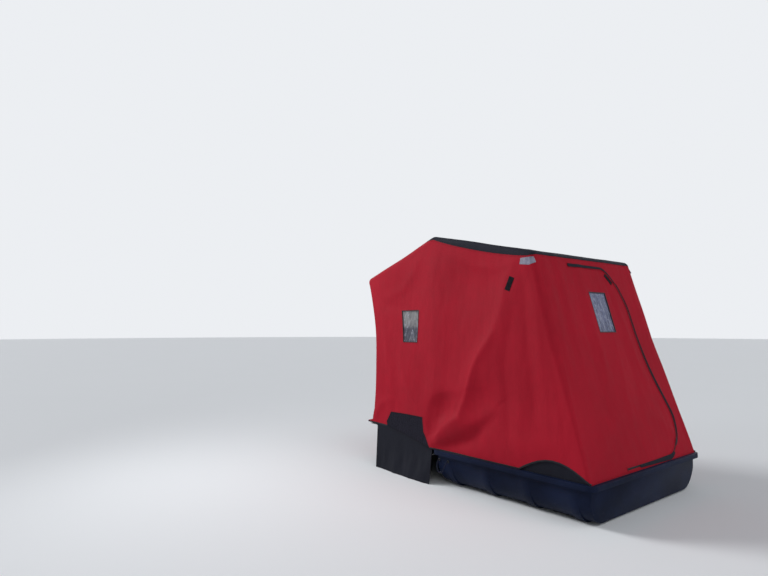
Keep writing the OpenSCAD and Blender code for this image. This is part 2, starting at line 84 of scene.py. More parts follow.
# Outline of the cover in the YZ plane, and its half widths
RIM_REAR = CAD_BOX[0].y
RIM_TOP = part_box("sled_tub")[1].z
FOOT_HALF_WIDTH = 0.742
TOP_HALF_WIDTH = 0.656
REAR_FOOT = (0.030, RIM_TOP)
REAR_TOP = (0.474, 1.762)
APEX = (1.475, 1.982)
SHOULDER = (2.345, 1.676)
FRONT_FOOT = (2.170, 0.404)
FRONT_FLARE = 3.5
FRONT_STEPS = 14
POCKET_TIP = (2.235, 0.388)
POCKET_UNDER = (2.231, 0.378)
ROOF_CROWN = 0.009
CROWN_STEPS = 6
ROOF_DROP = 0.024
ROOF_SAG = 0.046
ROOF_WRAP = 0.080
LEAN = (FOOT_HALF_WIDTH - TOP_HALF_WIDTH) / (APEX[1] - RIM_TOP)
SIDE_COS = math.cos(math.atan(LEAN))
SIDE_SIN = math.sin(math.atan(LEAN))

# Hems, gussets and skirts on the sides, as (y, z); a skirt hangs straight down to SKIRT_BEND and flares below
HEM_END = 0.560
HEM_LIFT = 0.095
HEM_STEPS = 10
GUSSET = [(1.415, 0.270), (1.501, 0.385), (1.513, 0.503), (1.930, 0.498), (1.979, 0.411), (1.965, 0.369)]
SKIRT_REAR = 1.398
SKIRT_FRONT = 2.100
SKIRT_TOP = (2.2101, 0.3636)
SKIRT_CLEAR = 0.001
SKIRT_BEND = 0.33

# Windows, patch and tab: middles and corners as (y, z) on the sides and (x, z) on the front; turns in degrees
SIDE_WINDOW = (1.720, 1.238)
SIDE_WINDOW_SIZE = (0.186, 0.264)
WINDOW_SIZE = (0.224, 0.304)
FRONT_WINDOW = (0.330, 1.240)
PATCH = [(0.500, 1.664), (0.576, 1.674), (0.569, 1.717), (0.502, 1.720), (0.462, 1.724), (0.444, 1.684)]
SIDE_TAB = (0.658, 1.540)
SIDE_TAB_SIZE = (0.044, 0.102)
SIDE_TAB_TURN = 22
FINE_CELL = 0.006

# Pull of the taut cloth on a side window: at its front corners, everywhere, and how far it reaches
WINDOW_PULL = 0.023
WINDOW_SHIFT = 0.004
PULL_REACH = 0.12

# Door in the rear wall's own plane, as (x, distance up the slope from the foot); DOOR_PULLS are the heights
# of the points that draw the curve between its belly and its waist
HINGE_X = -0.280
DOOR_BOTTOM = 0.030
DOOR_HEEL = 0.330
DOOR_BELLY = (0.564, 0.290)
DOOR_WAIST = (0.396, 1.050)
DOOR_PULLS = (0.400, 0.600)
DOOR_SHOULDER = (0.150, 1.090)
DOOR_TOP = 1.475
DOOR_GAP = 0.006
DOOR_WINDOW = (0.015, 1.121)
DOOR_TAB = (0.238, 1.392)
DOOR_TAB_SIZE = (0.032, 0.102)
DOOR_TAB_TURN = 43
SILL_END = 0.450
SILL_TOP = 0.024
ZIP_REACH = 0.015

# Dark flap inside the raised part of each side hem, as (y, z): painted shade, a dark sheet put where the
# shaded inside of the hut shows under the hem
SHADE_FLAP = [(0.040, 0.270), (0.590, 0.270), (0.570, 0.368), (0.490, 0.398), (0.078, 0.398)]
SHADE_FLAP_DEPTH = 0.008

# How the cloth lies over the hoops' legs, and how it hangs between them; angles are in radians above the rim
LEG_DEPTH = 0.011
LEG_HALF_WIDTH = 0.012
LEG_FLANK = 0.8
LEG_SOFTNESS = 0.004
HOLLOW_SHARE = 0.030
HOLLOW_LIMIT = 0.018
HOLLOW_RIM = 0.35
LOWEST_ANGLE = 0.10

# Width of the bands of finer cells beside the cover's corners and over its crossbars, and the distances
# over which the folds fade out, towards a corner and towards the door wall's foot
CORNER_BAND = 0.040
BAR_BAND = 0.045
FOLD_FADE = 0.050
FOOT_FADE = 0.10

SIDES = ((-1, "left"), (1, "right"))

# Webbing and welts lie on the cloth like this
RAISED = {"proud": 0.0024, "thickness": 0.0022}


def smooth(t):
    """Smooth step from 0 to 1 while t runs from 0 to 1."""
    t = np.clip(t, 0, 1)
    return t * t * (3 - 2 * t)


def half_width(z):
    """Half of the cover's width at height z."""
    return FOOT_HALF_WIDTH - LEAN * (z - RIM_TOP)


def plain(points):
    """Points as tuples of plain numbers."""
    return [tuple(map(float, p)) for p in points]


def line_marks(line):
    """Steps between the points of a line, their lengths, and each point's distance from the start."""
    steps = np.diff(line, axis=0)
    lengths = np.hypot(*steps.T)
    return steps, lengths, np.concatenate(([0], np.cumsum(lengths)))


def points_at(line, marks):
    """Points of a line at given distances from its start."""
    own = line_marks(line)[2]
    return np.stack([np.interp(marks, own, c) for c in line.T], 1)


def stretch(line, low, high, clear=1e-4):
    """Marks and points of a line between two marks, with the line's own points kept between them."""
    own = line_marks(line)[2]
    marks = np.concatenate(([low], own[(own > low + clear) & (own < high - clear)], [high]))
    return marks, points_at(line, marks)


def left_of(directions):
    """Directions turned by a quarter to the left."""
    return np.stack([-directions[:, 1], directions[:, 0]], 1)


def left_normals(line):
    """Unit vector to the left of a line at each of its points."""
    steps, lengths, _ = line_marks(line)
    left = left_of(steps / lengths[:, None])
    joined = np.vstack([left[:1], left[:-1] + left[1:], left[-1:]])
    return joined / np.hypot(*joined.T)[:, None]


def nearest_on(line, places):
    """Distance of each place from a line, mark of the nearest point, and a number above 0 on the left."""
    steps, lengths, marks = line_marks(line)
    offset = places[:, None, :] - line[None, :-1, :]
    share = np.clip((offset * steps).sum(2) / np.maximum(lengths ** 2, 1e-12), 0, 1)
    gap = np.linalg.norm(offset - share[..., None] * steps, axis=2)
    best = gap.argmin(1)
    rows = np.arange(len(places))
    near = offset[rows, best]
    left = steps[best, 0] * near[:, 1] - steps[best, 1] * near[:, 0]
    return gap[rows, best], marks[best] + share[rows, best] * lengths[best], left


def towards(start, end):
    """Unit vector from one point to another."""
    step = np.array(end[:2]) - start
    return step / np.hypot(*step)


def rounded_line(corners):
    """Points of a line whose corners, given as (y, z, radius), are rounded by arcs."""
    line = [np.array(corners[0][:2])]
    for before, here, after in zip(corners, corners[1:], corners[2:]):
        corner, radius = np.array(here[:2]), here[2]
        if radius == 0:
            line.append(corner)
            continue
        back, ahead = towards(corner, before), towards(corner, after)
        turn = math.pi - math.acos(np.clip(back @ ahead, -1, 1))
        middle = back + ahead
        centre = corner + middle / np.hypot(*middle) * radius / math.cos(turn / 2)
        y, z = corner + back * radius * math.tan(turn / 2) - centre
        sign = 1 if back[0] * ahead[1] - back[1] * ahead[0] < 0 else -1
        steps = max(2, math.ceil(math.degrees(turn) / 6))
        for i in range(steps + 1):
            c, s = math.cos(turn * i / steps), sign * math.sin(turn * i / steps)
            line.append(centre + (y * c - z * s, y * s + z * c))
    line.append(np.array(corners[-1][:2]))
    return np.array(line)


class Profile:
    """A line in the YZ plane that a sheet follows; a mark on it is a distance from the line's start."""

    def __init__(self, corners):
        self.points = rounded_line(corners)
        self.marks = line_marks(self.points)[2]
        self.normals = left_normals(self.points)

    def at(self, mark):
        """Place and outward normal, as y, z, normal y and normal z."""
        y, z, ny, nz = (np.interp(mark, self.marks, c) for c in (*self.points.T, *self.normals.T))
        size = np.hypot(ny, nz)
        return y, z, ny / size, nz / size


def front_point(s):
    """Point of the flared front wall; s is 0 at its foot and 1 at the shoulder."""
    return (FRONT_FOOT[0] + (SHOULDER[0] - FRONT_FOOT[0]) * s ** FRONT_FLARE,
            FRONT_FOOT[1] + (SHOULDER[1] - FRONT_FOOT[1]) * s)


def crown_point(t):
    """Point of the slightly crowned rear roof; t runs from the rear top corner to the apex."""
    rise = ROOF_CROWN * 4 * t * (1 - t)
    return (REAR_TOP[0] + t * (APEX[0] - REAR_TOP[0]), REAR_TOP[1] + t * (APEX[1] - REAR_TOP[1]) + rise)


COVER = Profile(
    [(*REAR_FOOT, 0), (*REAR_TOP, 0.048)]
    + [(*crown_point(i / CROWN_STEPS), 0) for i in range(1, CROWN_STEPS)]
    + [(*APEX, 0.075), (*SHOULDER, 0.040)]
    + [(*front_point(1 - i / FRONT_STEPS), 0) for i in range(1, FRONT_STEPS)]
    + [(*FRONT_FOOT, 0.016), (*POCKET_TIP, 0)])
SKIRT = Profile([(*SKIRT_TOP, 0), (SKIRT_FRONT, SKIRT_TOP[1], 0.020), (SKIRT_FRONT, SKIRT_CLEAR, 0)])

REAR_SLOPE = math.hypot(REAR_TOP[0] - REAR_FOOT[0], REAR_TOP[1] - REAR_FOOT[1])
REAR_SEAM = REAR_SLOPE - ROOF_DROP


def cover_mark(place):
    """Mark of the point of the cover's outline that is nearest to a (y, z) place."""
    return float(nearest_on(COVER.points, np.array([place]))[1][0])


TOP_MARK = cover_mark(REAR_TOP)
APEX_MARK = cover_mark(APEX)
WRAP_MARK = APEX_MARK + ROOF_WRAP
SHOULDER_MARK = cover_mark(SHOULDER)
FOOT_MARK = cover_mark(FRONT_FOOT)
END_MARK = float(COVER.marks[-1])

POLE_RADIUS = 0.0125


def crossbar(node, front):
    """Place of a hoop's crossbar as (y, z); front says on which side of the pivot it lies."""
    low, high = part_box(node)
    y = high.y - POLE_RADIUS if front else low.y + POLE_RADIUS
    return np.array([y - RIM_REAR, high.z - POLE_RADIUS])


# Pivot of the hoops and the middles of the crossbars that carry the cover, as (y, z)
PIVOT = np.array([1.374, RIM_TOP])
BARS = [crossbar("rear_hoop", False), crossbar("top_hoop", True), crossbar("front_hoop", True)]


class HutSizes(bpy.types.PropertyGroup):
    """Sizes of the cloth that a user may change"""
    cell: FloatProperty(
        name="Cell", description="Size of the cells that a cloth panel is divided into",
        default=0.012, min=0.006, max=0.05, unit="LENGTH")
    cover_thickness: FloatProperty(
        name="Cover thickness", description="Thickness of the insulated cover",
        default=0.005, min=0.001, max=0.008, unit="LENGTH")
    skirt_thickness: FloatProperty(
        name="Skirt thickness", description="Thickness of the skirts and gussets",
        default=0.0025, min=0.001, max=0.008, unit="LENGTH")
    folds: FloatProperty(
        name="Folds", description="Depth of the folds and hollows, as a share of the modelled depth",
        default=1.0, min=0.0, max=1.3, subtype="FACTOR")
    tooth_pitch: FloatProperty(
        name="Zip pitch", description="Distance between two teeth on one side of the zip",
        default=0.0042, min=0.003, max=0.01, unit="LENGTH")


class HutColours(bpy.types.PropertyGroup):
    """Colours of the hut's materials"""
    red: FloatVectorProperty(
        name="Cover red", description="Colour of the cover's cloth",
        default=(0.33, 0.008, 0.021), min=0, max=1, size=3, subtype="COLOR")
    black: FloatVectorProperty(
        name="Cloth black", description="Colour of the roof, gussets and skirts",
        default=(0.012, 0.013, 0.021), min=0, max=1, size=3, subtype="COLOR")
    # The sled's navy tint is partly a painted reflection of a blue sky; the plastic itself is near black
    sled: FloatVectorProperty(
        name="Sled", description="Colour of the sled's plastic",
        default=(0.006, 0.010, 0.028), min=0, max=1, size=3, subtype="COLOR")
    floor: FloatVectorProperty(
        name="Floor", description="Colour of the studio floor",
        default=(0.80, 0.82, 0.84), min=0, max=1, size=3, subtype="COLOR")


class HutView(bpy.types.PropertyGroup):
    """Camera that gives the photograph's view"""
    place: FloatVectorProperty(
        name="Place", description="Where the camera stands",
        default=(-3.929, -3.0585, 1.24), size=3, subtype="TRANSLATION", unit="LENGTH")
    heading: FloatProperty(
        name="Heading", description="Turn of the view from +Y towards +X",
        default=math.radians(39.32), unit="ROTATION")
    pitch: FloatProperty(
        name="Pitch", description="Tilt of the view above the horizon",
        default=math.radians(3.84), unit="ROTATION")
    lens: FloatProperty(
        name="Lens", description="Focal length on a 36 mm sensor, in millimetres",
        default=26.53, min=10, max=200, unit="CAMERA")


class Wire:
    """A shader socket for Python expressions; each operator adds its Math node."""

    def __init__(self, tree, socket=None):
        self.tree = tree
        self.socket = socket

    def node(self, kind, inputs=(), settings=(), output=0):
        """Adds a node of any kind and returns one of its outputs."""
        made = self.tree.nodes.new("ShaderNode" + kind)
        for key, value in dict(settings).items():
            setattr(made, key, value)
        for key, value in dict(inputs).items():
            if isinstance(value, Wire):
                self.tree.links.new(value.socket, made.inputs[key])
            else:
                made.inputs[key].default_value = value
        return Wire(self.tree, made.outputs[output])

    def math(self, operation, *values):
        return self.node("Math", enumerate(values), {"operation": operation})

    def __add__(self, other):
        return self.math("ADD", self, other)

    __radd__ = __add__

    def __sub__(self, other):
        return self.math("SUBTRACT", self, other)

    def __rsub__(self, other):
        return self.math("SUBTRACT", other, self)

    def __mul__(self, other):
        return self.math("MULTIPLY", self, other)

    __rmul__ = __mul__

    def __pow__(self, other):
        return self.math("POWER", self, other)

    def __abs__(self):
        return self.math("ABSOLUTE", self)

    def minimum(self, other):
        return self.math("MINIMUM", self, other)

    def maximum(self, other):
        return self.math("MAXIMUM", self, other)

    def waves(self, length):
        """Sine wave of a given length along this value, from -1 to 1."""
        return self.math("SINE", self * (math.tau / length))

    def band(self, low, high):
        """0 below low, 1 above high and smooth between them; low may be above high."""
        return self.node("MapRange", {0: self, 1: low, 2: high}, {"interpolation_type": "SMOOTHSTEP"})

    def stitches(self, distance, half=0.0011):
        """1 on a row of stitches at that distance from an edge, where this value is the distance from it."""
        return abs(self - distance).band(half, 0.0003)


class Finish:
    """A material being made: its shader, the coordinates it reads and a few patterns."""

    def __init__(self, name, **constants):
        self.material = bpy.data.materials.new(name)
        self.material.use_nodes = True
        tree = self.material.node_tree
        self.shader = tree.nodes["Principled BSDF"]
        self.wire = Wire(tree)
        self.place = self.wire.node("TexCoord", output="Object")
        for key, value in constants.items():
            self.shader.inputs[key.replace("_", " ")].default_value = value

    def noise(self, scale, detail=3.0, stretch=(1, 1, 1), rough=0.5, where=None):
        """Noise with about scale features a metre, from 0 to 1; stretch scales its axes."""
        at = self.wire.node("Mapping", {"Vector": where or self.place, "Scale": stretch})
        return self.wire.node(
            "TexNoise", {"Vector": at, "Scale": scale, "Detail": detail, "Roughness": rough})

    def attribute(self, name):
        """The three numbers of a piece's own vector attribute."""
        found = self.wire.node("Attribute", settings={"attribute_name": name}, output="Vector")
        split = self.wire.node("SeparateXYZ", {0: found}).socket.node
        return [Wire(self.wire.tree, socket) for socket in split.outputs]

    def blend(self, factor, first, second):
        """Colour that runs from first to second as factor goes from 0 to 1."""
        first, second = (c if isinstance(c, Wire) else (*c, 1.0) for c in (first, second))
        return self.wire.node("Mix", {0: factor, 6: first, 7: second}, {"data_type": "RGBA"}, output=2)

    def done(self, height=None, **fed):
        """Links the varying values, and a bump height in metres, and returns the material."""
        links = self.wire.tree.links
        for key, value in fed.items():
            links.new(value.socket, self.shader.inputs[key.replace("_", " ")])
        if height is not None:
            bump = self.wire.node("Bump", {"Height": height, "Distance": 1.0, "Strength": 1.0})
            links.new(bump.socket, self.shader.inputs["Normal"])
        return self.material


def tint(colour, share):
    """Colour times a share."""
    return tuple(c * share for c in colour)


def woven(name, colour, roughness, crumple=0.0012):
    """Coated woven cloth with crumples, fine streaks, and puckered seams with two rows of stitches."""
    f = Finish(name, Specular_IOR_Level=0.08)
    u, v, edge = f.attribute("cloth")
    broad = f.noise(1.6, 3)
    streaks = f.noise(30, 3, (1, 1, 0.06))
    folds = f.noise(11, 5, rough=0.6)
    puckers = f.noise(70, 2) * edge.band(0.05, 0.0)
    thread = u.waves(0.0018) * v.waves(0.0018)
    seam = edge.band(0.0105, 0.0135)
    dash = (u + v).waves(0.0065).band(-0.5, 0.1)
    stitch = (edge.stitches(0.0035) + edge.stitches(0.0090)) * dash
    height = folds * crumple + streaks * 0.0004 + thread * 0.00004 + puckers * 0.0009
    # Broad patches and streaks vary the tone at random. The folds part is painted highlight and shade:
    # lighter on the crumples' crests, which the bump raises, and darker in their hollows
    tone = broad * 0.30 + streaks * 0.10 + folds * 0.16
    shade = f.blend(tone.band(0.14, 0.42), tint(colour, 0.84), tint(colour, 1.10))
    # Painted shade: the cloth darkens within 24 mm of each seam and edge, where it dips
    shade = f.blend(edge.band(0.024, 0.0) * 0.16, shade, tint(colour, 0.55))
    shade = f.blend(stitch * 0.7, shade, tint(colour, 0.40))
    rough = roughness + (folds - 0.5) * 0.16
    return f.done(height - seam * 0.0006 - stitch * 0.0004, Base_Color=shade, Roughness=rough)


def red_cloth():
    return woven("red_cover_cloth", tuple(bpy.context.scene.hut_colours.red), 0.68)


def black_cloth():
    return woven("black_cloth", tuple(bpy.context.scene.hut_colours.black), 0.66)


def skirt_cloth():
    return woven("skirt_cloth", tint(bpy.context.scene.hut_colours.black, 0.8), 0.60, crumple=0.0030)


def lining():
    """Dark quilted lining on the inside of the cover, in diamonds."""
    f = Finish("quilted_lining", Specular_IOR_Level=0.3)
    u, v, _ = f.attribute("cloth")
    puff = abs((u + v).waves(0.22)).minimum(abs((u - v).waves(0.22))) ** 0.45
    folds = f.noise(24, 4, rough=0.6)
    # Painted shade along the sunken quilting lines and painted highlight on the raised puffs
    shade = f.blend(puff * 0.6 + folds * 0.4, (0.012, 0.012, 0.014), (0.030, 0.031, 0.036))
    return f.done(puff * 0.004 + folds * 0.0012, Base_Color=shade, Roughness=0.7 + (folds - 0.5) * 0.1)


def hook_tape():
    """Gusset faced with coarse hook tape, in rows."""
    f = Finish("gusset_tape", Specular_IOR_Level=0.05)
    u, _, edge = f.attribute("cloth")
    rows = u.waves(0.026)
    fuzz = f.noise(260, 2)
    shade = f.blend(fuzz.band(0.3, 0.7), (0.006, 0.006, 0.010), (0.024, 0.023, 0.034))
    shade = f.blend(edge.band(0.016, 0.010) * 0.6, shade, (0.012, 0.012, 0.016))
    return f.done(rows * 0.0006 + fuzz * 0.0008, Base_Color=shade, Roughness=fuzz * 0.2 + 0.78)


def vinyl(name, dark, pale, creasing, sky):
    """Clear vinyl, a little milky, with painted highlights on its creases' ridges and painted shade in their
    valleys; a painted sky reflection brightens its upper half.
    """
    f = Finish(name, IOR=1.45, Specular_IOR_Level=0.32)
    _, v, _ = f.attribute("cloth")
    turn = {"Vector": f.place, "Rotation": (0.0, 0.45, 0.0), "Scale": (1, 1, 0.32)}
    slanted = f.wire.node("Mapping", turn)
    creases = f.noise(creasing, 4, rough=0.6, where=slanted)
    ridge = abs(creases - 0.52).band(0.030, 0.0)
    valley = abs(creases - 0.40).band(0.045, 0.0)
    cloud = f.noise(4.5, 3)
    # Painted sky reflection: the upper half is lighter
    upper = v.band(-0.03, 0.03)
    bright = cloud * (0.8 - sky) + upper * sky
    shade = f.blend(bright.band(0.12, 0.55), dark, pale)
    # Painted shade in the creases' valleys
    shade = f.blend(valley * (0.7 - upper * 0.35), shade, (0.026, 0.029, 0.050))
    # Painted highlight on the creases' ridges
    shade = f.blend(ridge * 0.5, shade, (0.42, 0.44, 0.52))
    clear = 0.84 + ridge * 0.10 + cloud.band(0.4, 0.7) * 0.08
    rough = cloud * 0.15 + 0.22
    return f.done(creases * 0.005 + ridge * 0.0006, Base_Color=shade, Roughness=rough, Alpha=clear)


def window_vinyl():
    # Its blue tint is a painted reflection of a blue sky
    return vinyl("window_vinyl", (0.052, 0.062, 0.124), (0.160, 0.180, 0.290), 25, 0.05)


def side_vinyl():
    return vinyl("side_window_vinyl", (0.070, 0.070, 0.096), (0.215, 0.212, 0.218), 17, 0.4)


def webbing():
    """Black woven strap with a rib and a row of stitches along its edge."""
    f = Finish("webbing", Specular_IOR_Level=0.05)
    u, v, edge = f.attribute("cloth")
    rib = v.waves(0.0022) * u.waves(0.0034)
    wear = f.noise(70, 3)
    shade = f.blend(wear.band(0.35, 0.75), (0.002, 0.002, 0.004), (0.009, 0.009, 0.013))
    stitch = edge.stitches(0.0045, 0.0010)
    shade = f.blend(stitch * 0.5, shade, (0.03, 0.03, 0.035))
    return f.done(rib * 0.00018 - stitch * 0.0004, Base_Color=shade, Roughness=wear * 0.2 + 0.5)


def zip_nylon():
    """Black nylon of the zip's coil, slider and tapes."""
    f = Finish("zip_nylon", Specular_IOR_Level=0.2)
    grain = f.noise(420, 2)
    shade = f.blend(grain, (0.005, 0.005, 0.008), (0.015, 0.015, 0.021))
    return f.done(grain * 0.0001, Base_Color=shade, Roughness=grain * 0.2 + 0.35)


def reflective():
    """Pale reflective patch with a fine pressed grid."""
    f = Finish("reflective_patch", Specular_IOR_Level=0.4)
    u, v, edge = f.attribute("cloth")
    grid = u.waves(0.004) * v.waves(0.004)
    folds = f.noise(45, 4, (1, 1, 0.5), 0.6)
    # Painted highlight and shade: paler on the crests of its folds, which the bump raises, and darker in
    # their hollows
    shade = f.blend(folds.band(0.3, 0.7), (0.14, 0.135, 0.19), (0.25, 0.24, 0.32))
    stitch = edge.stitches(0.004)
    shade = f.blend(stitch * 0.7, shade, (0.09, 0.09, 0.10))
    return f.done(folds * 0.002 + grid * 0.00006, Base_Color=shade, Roughness=0.34 + folds * 0.2)


def sled_plastic():
    """Rotationally moulded plastic with an orange-peel skin, scuffs and pale drag marks low down."""
    f = Finish("sled_plastic", Specular_IOR_Level=0.06)
    base = tuple(bpy.context.scene.hut_colours.sled)
    peel = f.noise(190, 2)
    blotch = f.noise(3.2, 4, rough=0.6)
    scratch = f.noise(7, 6, (1, 16, 9), 0.7)
    height = f.wire.node("SeparateXYZ", {0: f.place}, output=2)
    scuffs = scratch.band(0.60, 0.74) * height.band(0.24, 0.02)
    shade = f.blend(blotch.band(0.35, 0.7), tint(base, 0.75), tint(base, 1.35))
    shade = f.blend(scuffs * 0.5, shade, (0.11, 0.12, 0.14))
    return f.done(
        peel * 0.00025 - scuffs * 0.0004 + blotch * 0.0012,
        Base_Color=shade, Roughness=0.44 + scuffs * 0.25 + (peel - 0.5) * 0.2)


def braided_rope():
    """Laid rope whose strands wind round it; along and round come from the piece's own attribute."""
    f = Finish("braided_rope", Specular_IOR_Level=0.1)
    along, turn, _ = f.attribute("cord")
    winding = turn * 0.024
    strands = (along + winding).waves(0.012).maximum((along - winding).waves(0.012))
    fuzz = f.noise(500, 2)
    # Painted shade: darker in the grooves between the strands, which the bump sinks, and paler on their
    # crests; the fuzz varies it at random
    pale = strands.band(-0.3, 0.9) * 0.8 + fuzz * 0.2
    shade = f.blend(pale, (0.004, 0.005, 0.013), (0.018, 0.021, 0.042))
    return f.done(strands * 0.0006 + fuzz * 0.0002, Base_Color=shade, Roughness=0.7 + fuzz * 0.15)


def coated_steel(name, colour, roughness, chips):
    """Steel with a thin coat, fine scratches and worn spots where the metal shows."""
    f = Finish(name, Specular_IOR_Level=0.5)
    scratch = f.noise(40, 5, (5, 1, 1), 0.65)
    worn = f.noise(22, 5, rough=0.7).band(0.66, 0.74) * chips
    shade = f.blend(scratch.band(0.3, 0.75), tint(colour, 0.75), tint(colour, 1.2))
    shade = f.blend(worn, shade, (0.42, 0.42, 0.43))
    rough = roughness + (scratch - 0.5) * 0.22
    height = scratch * 0.0001 - worn * 0.0002
    return f.done(height, Base_Color=shade, Roughness=rough, Metallic=0.35 + worn * 0.6)


def pole_steel():
    return coated_steel("pole_steel", (0.13, 0.135, 0.145), 0.42, 0.6)


def bracket_steel():
    return coated_steel("bracket_steel", (0.055, 0.056, 0.060), 0.50, 0.9)


def bolt_steel():
    return coated_steel("bolt_steel", (0.40, 0.40, 0.41), 0.34, 0.3)


def elbow_plastic():
    """Black moulded plastic of the hoops' corners."""
    f = Finish("elbow_plastic", Specular_IOR_Level=0.45)
    grain = f.noise(240, 2)
    shade = f.blend(grain, (0.010, 0.010, 0.011), (0.026, 0.026, 0.028))
    return f.done(grain * 0.00015, Base_Color=shade, Roughness=0.42 + grain * 0.15)


@functools.cache
def finish(make):
    """The material that a function makes; it is made once."""
    return make()


def wobble(points, size, seed):
    """Smooth noise from about -1 to 1 at each point, with features of about that size."""
    shift = Vector((seed * 3.7, seed * 1.9, seed * 5.3))
    return np.array([noise.noise(Vector(p) / size + shift) for p in points])


def fold(places, line, height, left, right):
    """Ridge along a line of points; its flanks run out over left and right of the line's direction."""
    line = np.array(line)
    gap, mark, side = nearest_on(line, places)
    flank = np.where(side > 0, left, right)
    blunt = min(0.012, 0.4 * min(left, right))
    reach = (np.sqrt(gap ** 2 + blunt ** 2) - blunt) / flank
    run = mark / line_marks(line)[2][-1]
    return height * np.exp(-reach ** 1.35) * np.sin(math.pi * (0.06 + 0.88 * run)) ** 0.6


def dent(places, middle, height, size):
    """Soft oval hollow or bulge; size is its reach along both axes."""
    away = ((places - np.array(middle)) / np.array(size)) ** 2
    return height * np.exp(-away.sum(1) ** 1.4)


# The long fold of the sides, from above the gusset to the roof's rear corner, as (y, z)
LONG_FOLD = [
    (1.265, 0.454), (1.182, 0.504), (1.098, 0.554), (1.076, 0.643), (1.039, 0.747), (1.010, 0.829),
    (0.969, 0.945), (0.919, 1.033), (0.846, 1.121), (0.800, 1.187), (0.752, 1.290), (0.718, 1.430),
    (0.690, 1.577), (0.584, 1.716)]
# Folds of the sides as (height, left flank, right flank, line); lines are (y, z)
SIDE_FOLDS = [
    (0.024, 0.130, 0.055, LONG_FOLD),
    (0.010, 0.030, 0.020, LONG_FOLD[1:10]),
    (0.020, 0.100, 0.035, [(1.430, 0.275), (1.411, 0.296), (1.350, 0.354), *LONG_FOLD[:3], (1.082, 0.620)]),
    (0.024, 0.040, 0.110, [(1.440, 0.275), (1.411, 0.296), (1.333, 0.346), (1.209, 0.392), (1.099, 0.438),
                           (1.029, 0.491), (0.943, 0.547), (0.860, 0.599), (0.803, 0.644)]),
    (-0.022, 0.055, 0.045, [(1.400, 0.280), (1.351, 0.300), (1.161, 0.350), (0.992, 0.420), (0.908, 0.490),
                            (0.810, 0.570)]),
    (0.017, 0.045, 0.140, [(1.490, 0.430), (1.475, 0.568), (1.447, 0.642), (1.398, 0.690), (1.319, 0.725),
                           (1.204, 0.745), (1.111, 0.757)]),
    (0.004, 0.050, 0.045, [(1.30, 0.275), (1.10, 0.310), (0.90, 0.340), (0.66, 0.345)]),
    (0.007, 0.030, 0.030, [(0.330, 0.600), (0.380, 0.900), (0.430, 1.250), (0.480, 1.560)]),
    (-0.007, 0.030, 0.030, [(0.400, 0.480), (0.460, 0.800), (0.510, 1.150), (0.540, 1.500)]),
    (0.005, 0.020, 0.030, [(0.220, 0.400), (0.270, 0.700), (0.330, 0.950)]),
    (-0.008, 0.040, 0.030, [(0.640, 0.420), (0.680, 0.700), (0.690, 0.980), (0.650, 1.300)]),
    (0.006, 0.030, 0.040, [(0.580, 0.420), (0.560, 0.620), (0.570, 0.860)]),
    (0.008, 0.060, 0.050, [(1.930, 0.520), (1.95, 0.80), (2.02, 1.10), (2.12, 1.40), (2.25, 1.60)]),
    (0.006, 0.050, 0.040, [(1.60, 1.86), (1.70, 1.70), (1.83, 1.56), (2.05, 1.50)]),
    (-0.006, 0.050, 0.050, [(2.26, 1.58), (2.05, 1.42), (1.86, 1.40)]),
    (0.006, 0.040, 0.030, [(0.62, 1.70), (0.80, 1.66), (1.02, 1.70), (1.25, 1.82)]),
    (0.008, 0.040, 0.030, [(2.19, 0.42), (2.05, 0.56), (1.95, 0.60)]),
    (0.006, 0.030, 0.030, [(1.56, 0.54), (1.72, 0.72), (1.84, 0.96)]),
]
# Hollows and bulges of the sides as (height, middle, reach)
SIDE_DENTS = [
    (-0.022, (1.300, 0.590), (0.110, 0.110)),
    (-0.012, (1.390, 0.450), (0.060, 0.110)),
    (0.010, (1.140, 0.490), (0.090, 0.070)),
    (-0.022, (0.930, 0.670), (0.150, 0.140)),
    (0.012, (0.640, 0.900), (0.240, 0.300)),
    (0.014, (0.620, 0.520), (0.500, 0.170)),
    (-0.010, (1.150, 1.550), (0.260, 0.200)),
    (0.008, (0.460, 0.420), (0.180, 0.090)),
    (0.010, (1.700, 0.900), (0.160, 0.260)),
]
# How deep the rear wall, roof and front sink between crossbars, as (from mark, to mark, depth)
SHEET_HOLLOWS = [
    (0.0, TOP_MARK, 0.006), (TOP_MARK, APEX_MARK, 0.016), (APEX_MARK, SHOULDER_MARK, 0.020),
    (SHOULDER_MARK, FOOT_MARK, 0.016)]
